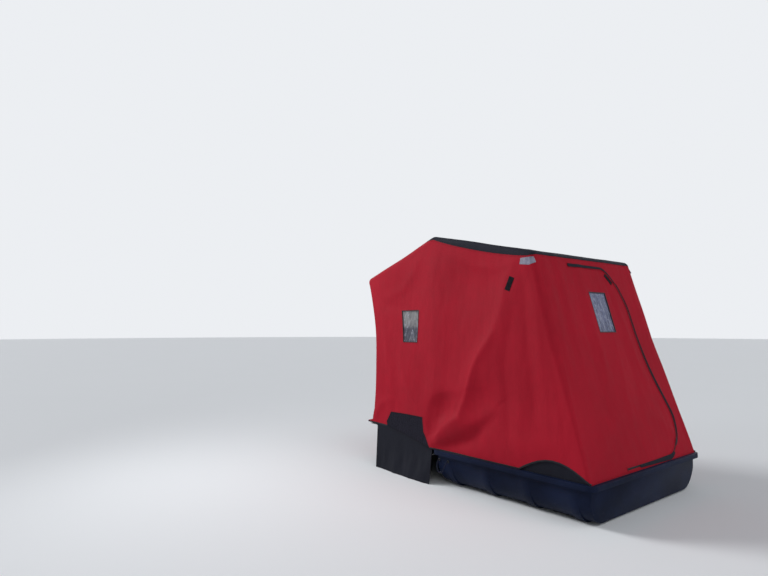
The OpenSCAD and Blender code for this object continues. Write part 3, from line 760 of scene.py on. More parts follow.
# Folds of the rear wall, roof and front as (height, left flank, right flank, line); lines are (x, mark)
SHEET_FOLDS = [
    (0.006, 0.030, 0.045, [(-0.560, 1.50), (-0.575, 1.25), (-0.590, 0.95), (-0.600, 0.70)]),
    (-0.005, 0.030, 0.030, [(-0.480, 1.50), (-0.480, 1.20), (-0.500, 0.85)]),
    (0.005, 0.030, 0.040, [(-0.390, 1.50), (-0.400, 1.30), (-0.410, 1.00), (-0.440, 0.60)]),
    (-0.005, 0.035, 0.035, [(-0.240, 1.48), (-0.250, 1.20), (-0.280, 0.75), (-0.310, 0.40)]),
    (0.006, 0.040, 0.030, [(-0.140, 1.47), (-0.150, 1.20), (-0.160, 0.85), (-0.190, 0.50)]),
    (0.006, 0.040, 0.050, [(0.060, 0.95), (0.050, 0.75), (0.020, 0.55), (-0.020, 0.30)]),
    (-0.006, 0.040, 0.040, [(0.180, 0.95), (0.190, 0.70), (0.160, 0.45)]),
    (0.006, 0.030, 0.040, [(0.270, 1.25), (0.280, 1.00), (0.310, 0.75), (0.360, 0.50)]),
    (-0.004, 0.030, 0.030, [(0.130, 1.46), (0.200, 1.30), (0.210, 1.10)]),
    (0.004, 0.025, 0.035, [(0.600, 1.50), (0.590, 1.10), (0.620, 0.70), (0.660, 0.40)]),
    (0.007, 0.060, 0.060, [(-0.560, 0.12), (-0.400, 0.26), (-0.220, 0.36), (0.020, 0.40)]),
    (0.007, 0.060, 0.060, [(0.560, 0.12), (0.420, 0.24), (0.260, 0.34)]),
    (0.006, 0.050, 0.050, [(-0.600, 1.62), (-0.400, 1.80), (-0.180, 1.95)]),
    (0.006, 0.050, 0.050, [(0.600, 1.62), (0.380, 1.82), (0.150, 1.98)]),
    (0.006, 0.050, 0.050, [(-0.590, 2.50), (-0.380, 2.34), (-0.150, 2.22)]),
    (0.006, 0.050, 0.050, [(0.590, 2.50), (0.400, 2.32), (0.180, 2.20)]),
    (0.007, 0.060, 0.050, [(-0.600, 2.70), (-0.400, 2.86), (-0.160, 2.98)]),
    (0.007, 0.060, 0.050, [(0.600, 2.70), (0.390, 2.88), (0.140, 3.00)]),
    (0.007, 0.060, 0.050, [(-0.610, 3.42), (-0.420, 3.28), (-0.200, 3.20)]),
    (0.007, 0.060, 0.050, [(0.610, 3.42), (0.400, 3.26), (0.180, 3.18)]),
    (0.008, 0.050, 0.060, [(-0.620, 3.62), (-0.480, 3.80), (-0.200, 3.95), (0.0, 4.00)]),
    (0.008, 0.050, 0.060, [(0.620, 3.62), (0.470, 3.82), (0.180, 3.97)]),
    (0.008, 0.060, 0.060, [(-0.680, 4.70), (-0.480, 4.50), (-0.240, 4.38)]),
    (0.008, 0.060, 0.060, [(0.680, 4.70), (0.460, 4.52), (0.220, 4.40)]),
    (-0.006, 0.060, 0.060, [(-0.050, 4.72), (-0.030, 4.40), (0.020, 4.10)]),
]


def sway(mark):
    """Wander of the corner between a side and the sheet; both faces share it."""
    return 0.0022 * np.sin(5.3 * mark + 1.0) + 0.0014 * np.sin(12.1 * mark + 0.4)


def between_hoops(places):
    """Hollow of the sides between the legs of the hoops, deeper where the legs are further apart."""
    away = places - PIVOT
    reach = np.hypot(*away.T)
    angle = np.arctan2(away[:, 1], away[:, 0])
    legs = [math.atan2(*(bar - PIVOT)[::-1]) for bar in BARS]
    rays = [LOWEST_ANGLE, legs[2], legs[1], legs[0], math.pi]
    hollow = np.zeros(len(places))
    for low, high in zip(rays, rays[1:]):
        share = np.clip((angle - low) / (high - low), 0, 1)
        span = reach * (high - low)
        hollow -= np.minimum(HOLLOW_SHARE * span, HOLLOW_LIMIT) * np.sin(math.pi * share) ** 1.5
    return hollow * smooth(nearest_on(COVER.points, places)[0] / HOLLOW_RIM)


def over_legs(places, relief):
    """Keeps the cloth outside the legs of the hoops, which carry it where it would sink further."""
    away = places - PIVOT
    for bar in BARS:
        leg = bar - PIVOT
        beside = np.abs(away[:, 0] * leg[1] - away[:, 1] * leg[0]) / np.hypot(*leg)
        lowest = -LEG_DEPTH - LEG_FLANK * np.maximum(beside - LEG_HALF_WIDTH, 0)
        relief = (relief + lowest + np.hypot(relief - lowest, LEG_SOFTNESS)) / 2
    return relief


def crinkle(points, seed):
    """Small uneven wrinkles that every piece of cloth has."""
    return 0.0026 * wobble(points, 0.22, seed) + 0.0013 * wobble(points, 0.085, seed + 1)


def side_relief(places, side):
    """How far a side stands out of its plane at (y, z) places."""
    seed = 3 if side < 0 else 8
    share = 1.0 if side < 0 else 0.85
    relief = between_hoops(places)
    for height, left, right, line in SIDE_FOLDS:
        relief += fold(places, line, height * share, left, right)
    for height, middle, size in SIDE_DENTS:
        relief += dent(places, middle, height * share, size)
    flat = np.column_stack([places * (1, 0.35), np.full(len(places), side)])
    return over_legs(places, relief + 0.0016 * wobble(flat, 0.05, seed) + crinkle(flat, seed))


def sheet_relief(places):
    """How far the rear wall, roof or front stands out of the outline at (x, mark) places."""
    mark = places[:, 1]
    relief = np.zeros(len(places))
    for low, high, depth in SHEET_HOLLOWS:
        share = np.clip((mark - low) / (high - low), 0, 1)
        relief -= depth * np.sin(math.pi * share) ** 1.3
    for height, left, right, line in SHEET_FOLDS:
        relief += fold(places, line, height, left, right)
    flat = np.column_stack([places * (1, 0.35), np.zeros(len(places))])
    relief += 0.0014 * wobble(flat, 0.045, 21) + crinkle(flat, 21)
    return relief * smooth(mark / FOOT_FADE)


# Radius of the cover's corner, as (mark, radius): soft down the rear, tighter along the roof
CORNER_RADII = np.array([
    (0.0, 0.018), (0.36, 0.026), (0.69, 0.042), (0.91, 0.060), (1.25, 0.056), (TOP_MARK - 0.06, 0.042),
    (TOP_MARK + 0.10, 0.034), (SHOULDER_MARK, 0.034), (FOOT_MARK - 0.10, 0.030), (FOOT_MARK - 0.02, 0.006)])


def corner_radius(mark):
    """Radius of the cover's corner at a mark."""
    return np.interp(mark, *CORNER_RADII.T)


def round_corner(d, e, radius):
    """Moves distances d and e from a corner's two faces onto its arc, and gives the arc's direction there."""
    near = (d < radius) & (e < radius)
    away_d = np.where(near, d - radius, np.where(d < e, -1.0, 0.0))
    away_e = np.where(near, e - radius, np.where(d < e, 0.0, -1.0))
    size = np.hypot(away_d, away_e)
    turn_d, turn_e = away_d / size, away_e / size
    new_d, new_e = np.where(near, radius * (1 + turn_d), d), np.where(near, radius * (1 + turn_e), e)
    return new_d, new_e, turn_d, turn_e


def onto_cover(x, y, z, side, d, e, mark, relief, proud):
    """Points of the cover and their normals, from flat places that lie d from the sheet and e from the side.

    They get the arc of the corner between the two, the relief, and the height above the cloth.
    """
    _, _, ny, nz = COVER.at(mark)
    new_d, new_e, turn_d, turn_e = round_corner(d, e, corner_radius(mark))
    zero = np.zeros(len(x))
    inward = np.stack([zero, -ny, -nz], 1)
    across = np.stack([-side * SIDE_COS, zero, zero - SIDE_SIN], 1)
    normal = turn_d[:, None] * inward + turn_e[:, None] * across
    hold = smooth(np.maximum(d, e) / (corner_radius(mark) + FOLD_FADE))
    folds = bpy.context.scene.hut_sizes.folds
    lift = folds * (sway(mark) * (1 - hold) + relief * hold) + proud
    points = np.stack([x, y + RIM_REAR, z], 1)
    points += (new_d - d)[:, None] * inward + (new_e - e)[:, None] * across + lift[:, None] * normal
    return points, normal


def strained(places):
    """Places on a side where the taut cloth pulls its window out of square: wider above, narrower below."""
    half = np.array(SIDE_WINDOW_SIZE) / 2
    from_middle = (places - SIDE_WINDOW) / half
    forward, up = np.clip(from_middle, -1, 1).T
    pull = WINDOW_PULL * (forward + 1) / 2 * up + WINDOW_SHIFT
    beyond = np.maximum(np.abs(from_middle) - 1, 0) * half
    hold = smooth(1 - np.hypot(*beyond.T) / PULL_REACH)
    return places + np.column_stack([pull * hold, np.zeros(len(places))])


def side_skin(side):
    """Function that puts (y, z) places on one side of the cover."""
    def skin(places, proud):
        places = strained(places)
        y, z = places.T
        d, mark, _ = nearest_on(COVER.points, places)
        return onto_cover(side * half_width(z), y, z, np.full(len(y), float(side)), d, np.zeros(len(y)), mark,
                          side_relief(places, side), proud)
    return skin


def sheet_skin(places, proud):
    """Puts (x, mark) places on the rear wall, the roof or the front."""
    x, mark = places.T
    y, z, _, _ = COVER.at(mark)
    side = np.where(x < 0, -1.0, 1.0)
    e = (half_width(z) - np.abs(x)) * SIDE_COS
    return onto_cover(x, y, z, side, np.zeros(len(x)), e, mark, sheet_relief(places), proud)


def skirt_relief(along, z, to_corner, seed):
    """Flare and folds of a hanging skirt, which grow towards the ground and die away at the front corner."""
    fall = (SKIRT_BEND - z) / SKIRT_BEND
    flat = np.column_stack([along, 0.12 * fall, np.full(len(along), float(seed))])
    hang = smooth(fall / 0.8) * smooth(to_corner / 0.10)
    flare = 0.030 * np.clip(fall, 0, 1) ** 1.6 * smooth(to_corner / 0.30)
    return flare + hang * (0.012 * wobble(flat, 0.15, seed) + 0.007 * wobble(flat, 0.06, seed + 1))


def side_skirt_skin(side):
    """Function that puts (y, z) places on one side skirt."""
    def skin(places, proud):
        y, z = places.T
        lift = skirt_relief(y, z, SKIRT_FRONT - y, 71) + proud
        points = np.stack([side * (half_width(z) + lift), y + RIM_REAR, z], 1)
        return points, np.tile((side * SIDE_COS, 0.0, SIDE_SIN), (len(y), 1))
    return skin


def front_skirt_skin(places, proud):
    """Puts (x, mark) places on the front skirt."""
    x, mark = places.T
    y, z, ny, nz = SKIRT.at(mark)
    normals = np.stack([np.zeros(len(x)), ny, nz], 1)
    lift = skirt_relief(x, z, half_width(z) - np.abs(x), 77) + proud
    return np.stack([x, y + RIM_REAR, z], 1) + lift[:, None] * normals, normals


def oblong(middle, size):
    """Upright rectangle as four corners."""
    (u, v), (w, h) = middle, size
    return [(u - w / 2, v - h / 2), (u + w / 2, v - h / 2), (u + w / 2, v + h / 2), (u - w / 2, v + h / 2)]


def turned(points, middle, angle):
    """Points turned about a middle by an angle in degrees."""
    c, s = math.cos(math.radians(angle)), math.sin(math.radians(angle))
    return [(middle[0] + (u - middle[0]) * c - (v - middle[1]) * s,
             middle[1] + (u - middle[0]) * s + (v - middle[1]) * c) for u, v in points]


def grown(middle, size, by):
    """Rectangle of that middle and size, grown on every side."""
    return oblong(middle, (size[0] + 2 * by, size[1] + 2 * by))


def strip(line, width):
    """Closed outline of a strip that runs along the left of a line."""
    line = np.array(line)
    return plain([*line, *(line + width * left_normals(line))[::-1]])


def flat_area(points):
    """Area inside a closed outline."""
    p = np.array(points)
    q = np.roll(p, -1, axis=0)
    return abs(float((p[:, 0] * q[:, 1] - p[:, 1] * q[:, 0]).sum())) / 2


def closed(outline):
    """Line that runs round an outline and back to its start."""
    return [*outline, outline[0]]


def line_distance(places, lines):
    """Distance of each place from the nearest of some lines."""
    return np.min([nearest_on(np.array(line), places)[0] for line in lines], axis=0)


def cut_across(bm, axis, cuts):
    """Cuts every face at the given places along one axis, from the low end to the high end."""
    normal = Vector((1 - axis, axis, 0))
    rest = bm.faces[:]
    for at in cuts:
        parts = set(rest)
        for face in rest:
            parts.update(face.edges)
            parts.update(face.verts)
        made = bmesh.ops.bisect_plane(bm, geom=list(parts), dist=1e-6, plane_co=normal * at, plane_no=normal)
        faces = [g for g in made["geom"] if isinstance(g, bmesh.types.BMFace)]
        rest = [face for face in faces if face.calc_center_median()[axis] > at]


def grid_lines(low, high, cell, fixed):
    """Places of the cuts between low and high: fixed ones, and regular ones that stay clear of them."""
    regular = np.arange(math.ceil(low / cell), math.floor(high / cell) + 1) * cell
    kept = [float(a) for a in regular if all(abs(a - b) > 0.3 * cell for b in fixed)]
    return sorted(a for a in {*kept, *fixed} if low + 0.1 * cell < a < high - 0.1 * cell)


def flat_cloth(outline, holes, cell, near_corner):
    """Flat panel cut into small cells, with its holes open and finer cells near the cover's corners."""
    bm = bmesh.new()
    bm.faces.new([bm.verts.new((u, v, 0)) for u, v in outline])
    for axis in (0, 1):
        ends = [p[axis] for p in outline]
        fixed = {round(p[axis], 6) for hole in holes for p in hole}
        cut_across(bm, axis, grid_lines(min(ends), max(ends), cell, fixed))
    inside = []
    for face in bm.faces:
        u, v, _ = face.calc_center_median()
        if any(hole[0][0] < u < hole[2][0] and hole[0][1] < v < hole[2][1] for hole in holes):
            inside.append(face)
    bmesh.ops.delete(bm, geom=inside, context="FACES")
    if near_corner:
        faces = bm.faces[:]
        middles = np.array([face.calc_center_median()[:2] for face in faces])
        edges = {edge for face, near in zip(faces, near_corner(middles)) if near for edge in face.edges}
        bmesh.ops.subdivide_edges(bm, edges=list(edges), cuts=1, use_grid_fill=True)
    return bm


def near_side_edge(middles):
    """Which (y, z) places on a side are at the rounded corner."""
    d, mark, _ = nearest_on(COVER.points, middles)
    return d < np.maximum(corner_radius(mark), CORNER_BAND)


def near_sheet_edge(middles):
    """Which (x, mark) places on the sheet are at a rounded corner or over a crossbar."""
    x, mark = middles.T
    _, z, _, _ = COVER.at(mark)
    bars = np.min([np.abs(mark - at) for at in (TOP_MARK, APEX_MARK, SHOULDER_MARK)], axis=0)
    beside = half_width(z) - np.abs(x) < np.maximum(corner_radius(mark), CORNER_BAND)
    return beside | (bars < BAR_BAND)


def give_thickness(bm, thickness):
    """Gives a panel its thickness, inwards; returns the faces of its inner layer."""
    outer = set(bm.verts)
    bmesh.ops.solidify(bm, geom=bm.faces[:], thickness=thickness)
    for face in bm.faces:
        if 0 < sum(v in outer for v in face.verts) < len(face.verts):
            for edge in face.edges:
                if len({v in outer for v in edge.verts}) == 1:
                    edge.smooth = False
    return [face for face in bm.faces if all(v not in outer for v in face.verts)]


def add_object(name, data):
    """New object of the scene."""
    made = bpy.data.objects.new(name, data)
    bpy.context.scene.collection.objects.link(made)
    return made


def mesh_object(name, bm, *materials):
    """Object made from a bmesh, smooth, with its materials."""
    mesh = bpy.data.meshes.new(name)
    for face in bm.faces:
        face.smooth = True
    bm.to_mesh(mesh)
    bm.free()
    for material in materials:
        mesh.materials.append(material)
    return add_object(name, mesh)


def placed(point, x, y, z):
    """Matrix that puts a shape at a point, with its own axes along three directions."""
    return Matrix.Translation(point) @ Matrix((x, y, z)).transposed().to_4x4()


def settle(piece, nodes=(), body="hut"):
    """Puts a piece on its body and hides the CAD nodes whose place it takes.

    A piece of the door has its transform baked in and is not put on a body.
    """
    if body == "door":
        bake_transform(piece)
    else:
        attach(piece, body)
    if nodes:
        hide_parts(*nodes)
    return piece


def cloth_mesh(name, outline, skin, materials, thickness, holes=(), cell=None, proud=0.0, near_corner=None,
               shape=None, seams=None, origin=(0, 0)):
    """Piece of cloth: cut flat, put on the cover by its skin function, and given its thickness.

    It stands proud of the cover's surface, and shape adds to that. near_corner says where its cells are
    halved. Its attribute cloth holds the place from origin and the distance from the nearest seam.
    """
    bm = flat_cloth(outline, holes, cell or bpy.context.scene.hut_sizes.cell, near_corner)
    places = np.array([v.co[:2] for v in bm.verts])
    edge = line_distance(places, seams or [closed(line) for line in (outline, *holes)])
    layer = bm.verts.layers.float_vector.new("cloth")
    points, normals = skin(places, proud + (shape(places, edge) if shape else 0.0))
    for vert, point, place, gap in zip(bm.verts, points, places, edge):
        vert[layer] = Vector((*(place - origin), gap))
        vert.co = point
    bm.normal_update()
    if sum(v.normal.dot(Vector(n)) for v, n in zip(bm.verts, normals)) < 0:
        bmesh.ops.reverse_faces(bm, faces=bm.faces[:])
        bm.normal_update()
    for face in give_thickness(bm, thickness):
        face.material_index = len(materials) - 1
    return mesh_object(name, bm, *materials)


def smallest_rectangle(points):
    """Sides of the smallest rectangle that can be laid round an outline."""
    sizes = []
    for degrees in range(0, 90, 3):
        c, s = math.cos(math.radians(degrees)), math.sin(math.radians(degrees))
        sizes.append(np.ptp(np.array(points) @ np.array([[c, -s], [s, c]]), axis=0))
    return plain([min(sizes, key=np.prod)])[0]


def declare(outline, holes=()):
    """Works out a sheet's area and the rectangle round its outline, but keeps neither."""
    flat = smallest_rectangle(outline)
    area = flat_area(outline) - sum(flat_area(hole) for hole in holes)
    min(area, flat[0] * flat[1])


def panel(name, outline, skin, make, nodes, body="hut", held="stretched", rests_on=("rear_hoop",), holes=(),
          trim=(), thickness=None, **more):
    """Cloth panel; the red and black cloth of the cover is quilted and has a lining."""
    inside = lining if make in (red_cloth, black_cloth) else make
    thickness = thickness or bpy.context.scene.hut_sizes.cover_thickness
    piece = cloth_mesh(name, outline, skin, [finish(make), finish(inside)], thickness, holes=holes, **more)
    settle(piece, nodes, body)
    declare(outline, holes)
    return piece


def tape(name, outline, skin, make, nodes=(), body="hut", slot=None, thickness=0.0018, **more):
    """Narrow strip of tape, binding or webbing on the cloth."""
    return settle(cloth_mesh(name, outline, skin, [finish(make)], thickness, **more), nodes, body)


def binding(name, outline, skin, body="hut", **more):
    """Dark binding that wraps an edge of the cloth."""
    return tape(name, outline, skin, zip_nylon, (), body, "black_cloth", proud=0.0010, **more)


def soft_arc(angle, rx, ry, power):
    """Point of a rounded corner; a power of 1 gives a quarter of an ellipse, a lower one a fuller corner."""
    return rx * max(math.cos(angle), 0) ** power, ry * max(math.sin(angle), 0) ** power


def door_line(grow):
    """The zip's line round the door, from the hinge's foot to its head, moved outwards by grow."""
    steps = 12
    fullness = 1.14
    belly = (DOOR_BELLY[0] + grow, DOOR_BELLY[1])
    waist = (DOOR_WAIST[0] + grow, DOOR_WAIST[1])
    pulls = [belly, (belly[0], DOOR_PULLS[0]), (waist[0], DOOR_PULLS[1]), waist]
    line = [(HINGE_X, DOOR_BOTTOM - grow)]
    depth = belly[1] - DOOR_BOTTOM + grow
    for i in range(steps, -1, -1):
        u, v = soft_arc(math.pi / 2 * i / steps, belly[0] - DOOR_HEEL, depth, fullness)
        line.append((DOOR_HEEL + u, belly[1] - v))
    for i in range(1, steps + 1):
        t = i / steps
        weights = [(1 - t) ** 3, 3 * t * (1 - t) ** 2, 3 * t * t * (1 - t), t ** 3]
        line.append(tuple(sum(w * p[k] for w, p in zip(weights, pulls)) for k in (0, 1)))
    left, low = DOOR_SHOULDER
    for i in range(steps + 1):
        u, v = soft_arc(math.pi / 2 * i / steps, waist[0] - left, DOOR_TOP - low + grow, fullness)
        line.append((left + u, low + v))
    return [*line, (HINGE_X, DOOR_TOP + grow)]


def door_band(inner, outer):
    """Outline of a band round the door, between two distances from its edge."""
    return door_line(outer) + door_line(inner)[::-1]


def along_door(low, high, grow=DOOR_GAP / 2):
    """Stretch of the zip's line, moved outwards by grow, between two distances from its lower end."""
    return stretch(np.array(door_line(grow)), low, high, 0.004)[1]


def headings(line):
    """Unit direction of a line at each of its points."""
    ahead = np.gradient(line, axis=0)
    return ahead / np.hypot(*ahead.T)[:, None]


def ribbon(line, widths):
    """Closed outline of a ribbon along the middle of a line; its width runs through the given widths."""
    marks = line_marks(line)[2]
    half = np.interp(marks / marks[-1], np.linspace(0, 1, len(widths)), widths)[:, None] / 2
    beside = half * left_of(headings(line))
    return plain([*(line - beside), *(line + beside)[::-1]])


def resample(line, step):
    """Evenly spaced points along a line, and the direction at each."""
    line = np.array(line)
    length = line_marks(line)[2][-1]
    count = int(length / step)
    places = points_at(line, (np.arange(count) + 0.5) * length / count)
    return places, headings(places)


def sheet_outline(low, high, left=None, right=None):
    """Outline of a stretch of the sheet between two marks, from side to side or between given x."""
    marks, places = stretch(COVER.points, low, high)
    widths = half_width(places[:, 1])
    first = [(right if right is not None else w, m) for w, m in zip(widths, marks)]
    second = [(left if left is not None else -w, m) for w, m in zip(widths, marks)]
    return plain(first + second[::-1])


def without_repeats(points):
    """Outline with the points dropped that repeat the one before."""
    kept = [points[0]]
    for p in points[1:]:
        if math.dist(p, kept[-1]) > 1e-5:
            kept.append(p)
    return kept


def roof_seam():
    """Seam between the roof's drop and a side wall, from the rear to the front, as (y, z)."""
    steps = 24
    ridge = np.array([REAR_TOP, APEX, SHOULDER])
    rear = tuple(f + REAR_SEAM / REAR_SLOPE * (t - f) for f, t in zip(REAR_FOOT, REAR_TOP))
    front = plain([COVER.at(WRAP_MARK)[:2]])[0]
    line = [rear]
    for i in range(1, steps):
        s = i / steps
        y = rear[0] + s * (front[0] - rear[0])
        drop = ROOF_DROP * (1 - s) + ROOF_SAG * math.sqrt(math.sin(math.pi * s))
        line.append((y, float(np.interp(y, *ridge.T)) - drop))
    return [*line, front]


def side_hem():
    """Lower edge of a side wall, from the gusset to the rear corner, as (y, z)."""
    line = [GUSSET[0]]
    for i in range(HEM_STEPS + 1):
        s = i / HEM_STEPS
        line.append((HEM_END - s * (HEM_END - REAR_FOOT[0]), RIM_TOP + HEM_LIFT * math.sin(math.pi * s)))
    return line


class HUT_OT_tow_ropes(bpy.types.Operator):
    """Rope loops through the sled's end walls, with their grommets"""
    bl_idname = "hut.tow_ropes"
    bl_label = "Tow ropes"

    radius = 0.0045
    wall_inset = 0.034
    grommet_radius = 0.0085
    grommet_thickness = 0.0056
    # Rear half of the right loop, as (distance from the end wall, y from the rim's rear edge, z)
    half_route = [(0.000, 0.062, 0.196), (0.012, 0.062, 0.194), (0.024, 0.064, 0.184), (0.033, 0.068, 0.166),
                  (0.038, 0.074, 0.144), (0.040, 0.084, 0.124), (0.040, 0.100, 0.114)]
    middle = 0.109

    def loop(self, side):
        """Smooth path of the rope on one side."""
        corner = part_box("sled_tub")[1]
        wall, depth = corner.x - self.wall_inset, corner.y - RIM_REAR
        route = self.half_route + [(x, 2 * self.middle - y, z) for x, y, z in self.half_route[::-1]]
        if side < 0:
            route = [(x, depth - y, z) for x, y, z in route]
        points = [Vector((side * (wall + x), y + RIM_REAR, z)) for x, y, z in route]
        line = [points[0], *points, points[-1]]
        path = []
        for before, a, b, after in zip(line, line[1:], line[2:], line[3:]):
            path += interpolate_bezier(a, a + (b - before) / 6, b - (after - a) / 6, b, 5)[:-1]
        return [*path, points[-1]]

    def sweep(self, path, segments=12):
        """Round rope along a path, closed at its ends; each vertex keeps its place along and round it."""
        bm = bmesh.new()
        layer = bm.verts.layers.float_vector.new("cord")
        rings = []
        run = 0.0
        for before, centre, after in zip([path[0], *path], path, [*path[1:], path[-1]]):
            run += (centre - before).length
            ahead = (after - before).normalized()
            turn = Vector((0.3, 0, 1)).cross(ahead).normalized()
            matrix = placed(centre, turn, ahead.cross(turn), ahead)
            ring = bmesh.ops.create_circle(bm, segments=segments, radius=self.radius, matrix=matrix)["verts"]
            for k, vert in enumerate(ring):
                vert[layer] = Vector((run, k / segments, 0))
            rings.append(ring)
        for ring, following in zip(rings, rings[1:]):
            both = {*ring, *following}
            bmesh.ops.bridge_loops(bm, edges=[e for e in bm.edges if both.issuperset(e.verts)])
        for ring in (rings[0], rings[-1]):
            bm.faces.new(ring)
        bmesh.ops.recalc_face_normals(bm, faces=bm.faces[:])
        return bm

    def grommets(self, name, side, places):
        """Moulded rings where the rope passes through the wall."""
        bm = bmesh.new()
        across = Matrix.Rotation(math.pi / 2, 4, "Y") @ Matrix.Rotation(math.pi / 2, 4, "X")
        for place in places:
            middle = place + Vector((side * 0.002, 0, 0))
            matrix = Matrix.Translation(middle - Vector((0, 0, self.grommet_radius))) @ across
            ring = bmesh.ops.create_circle(
                bm, segments=8, radius=self.grommet_thickness / 2, matrix=matrix)["verts"]
            edges = list({e for v in ring for e in v.link_edges})
            bmesh.ops.spin(bm, geom=ring + edges, cent=middle, axis=(1, 0, 0), angle=math.tau, steps=24,
                           use_merge=True)
        bmesh.ops.remove_doubles(bm, verts=bm.verts[:], dist=1e-5)
        bmesh.ops.recalc_face_normals(bm, faces=bm.faces[:])
        settle(mesh_object(name, bm, finish(elbow_plastic)))

    def execute(self, context):
        for side, word in SIDES[::-1]:
            path = self.loop(side)
            rope = mesh_object(f"tow_rope_loop_{word}", self.sweep(path), finish(braided_rope))
            settle(rope, [f"tow_rope_{word}"])
            self.grommets(f"rope_grommets_{word}", side, [path[0], path[-1]])
        return {"FINISHED"}


class HUT_OT_sled(bpy.types.Operator):
    """Moulded sled with its edges eased"""
    bl_idname = "hut.sled"
    bl_label = "Sled"

    edge_radius = 0.0025
    # In degrees: faces that turn less than the first are joined, edges that turn more than the second are
    # eased, and those that still turn more than the third are shaded sharp
    flat_angle = 1.0
    edge_angle = 28
    sharp_angle = 32

    def execute(self, context):
        bm = bmesh.new()
        bm.from_mesh(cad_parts["sled_tub"].data)
        bmesh.ops.remove_doubles(bm, verts=bm.verts[:], dist=1e-5)
        bmesh.ops.dissolve_limit(bm, angle_limit=math.radians(self.flat_angle), verts=bm.verts[:],
                                 edges=bm.edges[:], use_dissolve_boundaries=False)
        least = math.radians(self.edge_angle)
        eased = [e for e in bm.edges if len(e.link_faces) == 2 and e.calc_face_angle() > least]
        bmesh.ops.bevel(bm, geom=eased, offset=self.edge_radius, offset_type="OFFSET", segments=2,
                        profile=0.5, affect="EDGES", clamp_overlap=True, material=-1)
        sled = mesh_object("moulded_sled", bm, finish(sled_plastic))
        sled.data.set_sharp_from_angle(angle=math.radians(self.sharp_angle))
        settle(sled, ["sled_tub"])
        return {"FINISHED"}


class HUT_OT_hoops(bpy.types.Operator):
    """Folding hoops, their elbows, pivot brackets and bolts"""
    bl_idname = "hut.hoops"
    bl_label = "Hoops"

    finishes = {
        pole_steel: ["rear_hoop", "top_hoop", "front_hoop", "base_hoop", "rear_hoop_sleeves",
                     "top_hoop_sleeves", "front_hoop_sleeves"],
        elbow_plastic: ["hoop_elbows"],
        bracket_steel: ["pivot_bracket_left", "pivot_bracket_right"],
        bolt_steel: ["pivot_bolts"],
    }

    def execute(self, context):
        for make, names in self.finishes.items():
            for name in names:
                for material_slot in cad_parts[name].material_slots:
                    material_slot.material = finish(make)
        return {"FINISHED"}


class HUT_OT_roof(bpy.types.Operator):
    """Black roof cloth with its drops down the rear wall and the sides"""
    bl_idname = "hut.roof"
    bl_label = "Roof"

    def execute(self, context):
        rests = ["rear_hoop", "top_hoop"]
        top = stretch(COVER.points, REAR_SEAM, WRAP_MARK)[1]
        drop = without_repeats(plain(top) + roof_seam()[1:-1][::-1])
        for side, word in SIDES:
            panel(f"roof_drop_{word}", drop, side_skin(side), black_cloth, [], rests_on=rests,
                  near_corner=near_side_edge, proud=0.0012)
        panel("roof_cloth", sheet_outline(REAR_SEAM, WRAP_MARK), sheet_skin, black_cloth, ["roof_panel"],
              rests_on=rests, near_corner=near_sheet_edge, proud=0.0012)
        return {"FINISHED"}


def window(name, middle, size, skin, nodes, seed, make=window_vinyl, body="hut"):
    """Clear pane with a dark binding round its opening."""
    def creases(places, edge):
        flat = np.column_stack([places * (1, 0.45), np.zeros(len(places))])
        height = 0.0045 * wobble(flat, 0.05, seed) + 0.0028 * wobble(flat, 0.02, seed + 1)
        return height * smooth(edge / 0.04)

    panel(name, grown(middle, size, 0.010), skin, make, nodes, body, rests_on=[], thickness=0.0008,
          proud=-0.0056, cell=0.007, shape=creases, origin=middle)
    binding(name + "_binding", grown(middle, size, 0.005), skin, body, holes=[grown(middle, size, -0.001)],
            thickness=0.0075)


class HUT_OT_side_walls(bpy.types.Operator):
    """Red side walls with their windows, gussets, tabs and reflective patches"""
    bl_idname = "hut.side_walls"
    bl_label = "Side walls"

    def trim(self, word, skin):
        """Tab, patch and bindings that are sewn to a side wall."""
        tab = turned(oblong(SIDE_TAB, SIDE_TAB_SIZE), SIDE_TAB, SIDE_TAB_TURN)
        return [
            tape(f"side_tab_{word}", tab, skin, webbing, cell=FINE_CELL, **RAISED),
            tape(f"reflective_patch_{word}", PATCH, skin, reflective, proud=0.0012, thickness=0.001,
                 cell=FINE_CELL),
            binding(f"hem_binding_{word}", strip(side_hem()[::-1], 0.011), skin, thickness=0.0070,
                    near_corner=near_side_edge),
            binding(f"tip_binding_{word}", strip([GUSSET[-1], POCKET_UNDER], 0.012), skin, thickness=0.0070)]

    def execute(self, context):
        opening = oblong(SIDE_WINDOW, SIDE_WINDOW_SIZE)
        front = stretch(COVER.points, WRAP_MARK, END_MARK)[1]
        outline = without_repeats(
            [REAR_FOOT, *roof_seam(), *plain(front[1:]), POCKET_UNDER, *GUSSET[:0:-1], *side_hem()[:-1]])
        for side, word in SIDES:
            skin = side_skin(side)
            trim = self.trim(word, skin)
            wall = panel(f"side_cloth_{word}", outline, skin, red_cloth, [f"side_wall_{word}"],
                         rests_on=["rear_hoop", "top_hoop", "front_hoop"], holes=[opening], trim=trim,
                         near_corner=near_side_edge, seams=[outline[1:], closed(opening)])
            window(f"side_pane_{word}", SIDE_WINDOW, SIDE_WINDOW_SIZE, skin, [f"side_window_{word}"],
                   31 + side, side_vinyl)
            # The dark flap inside the hem is painted shade: it fills the gap where the shaded inside of the
            # hut shows
            panel(f"hem_shade_flap_{word}", SHADE_FLAP, skin, skirt_cloth, [f"side_flap_{word}"], held="hung",
                  rests_on=[wall.name], thickness=0.0025, proud=-SHADE_FLAP_DEPTH)
            panel(f"gusset_{word}", GUSSET, skin, hook_tape, [f"side_gusset_{word}"], rests_on=[wall.name],
                  thickness=0.003)
        # One CAD node holds the tabs of both sides, and one the patches
        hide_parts("side_pull_tabs")
        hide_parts("reflective_patches")
        return {"FINISHED"}


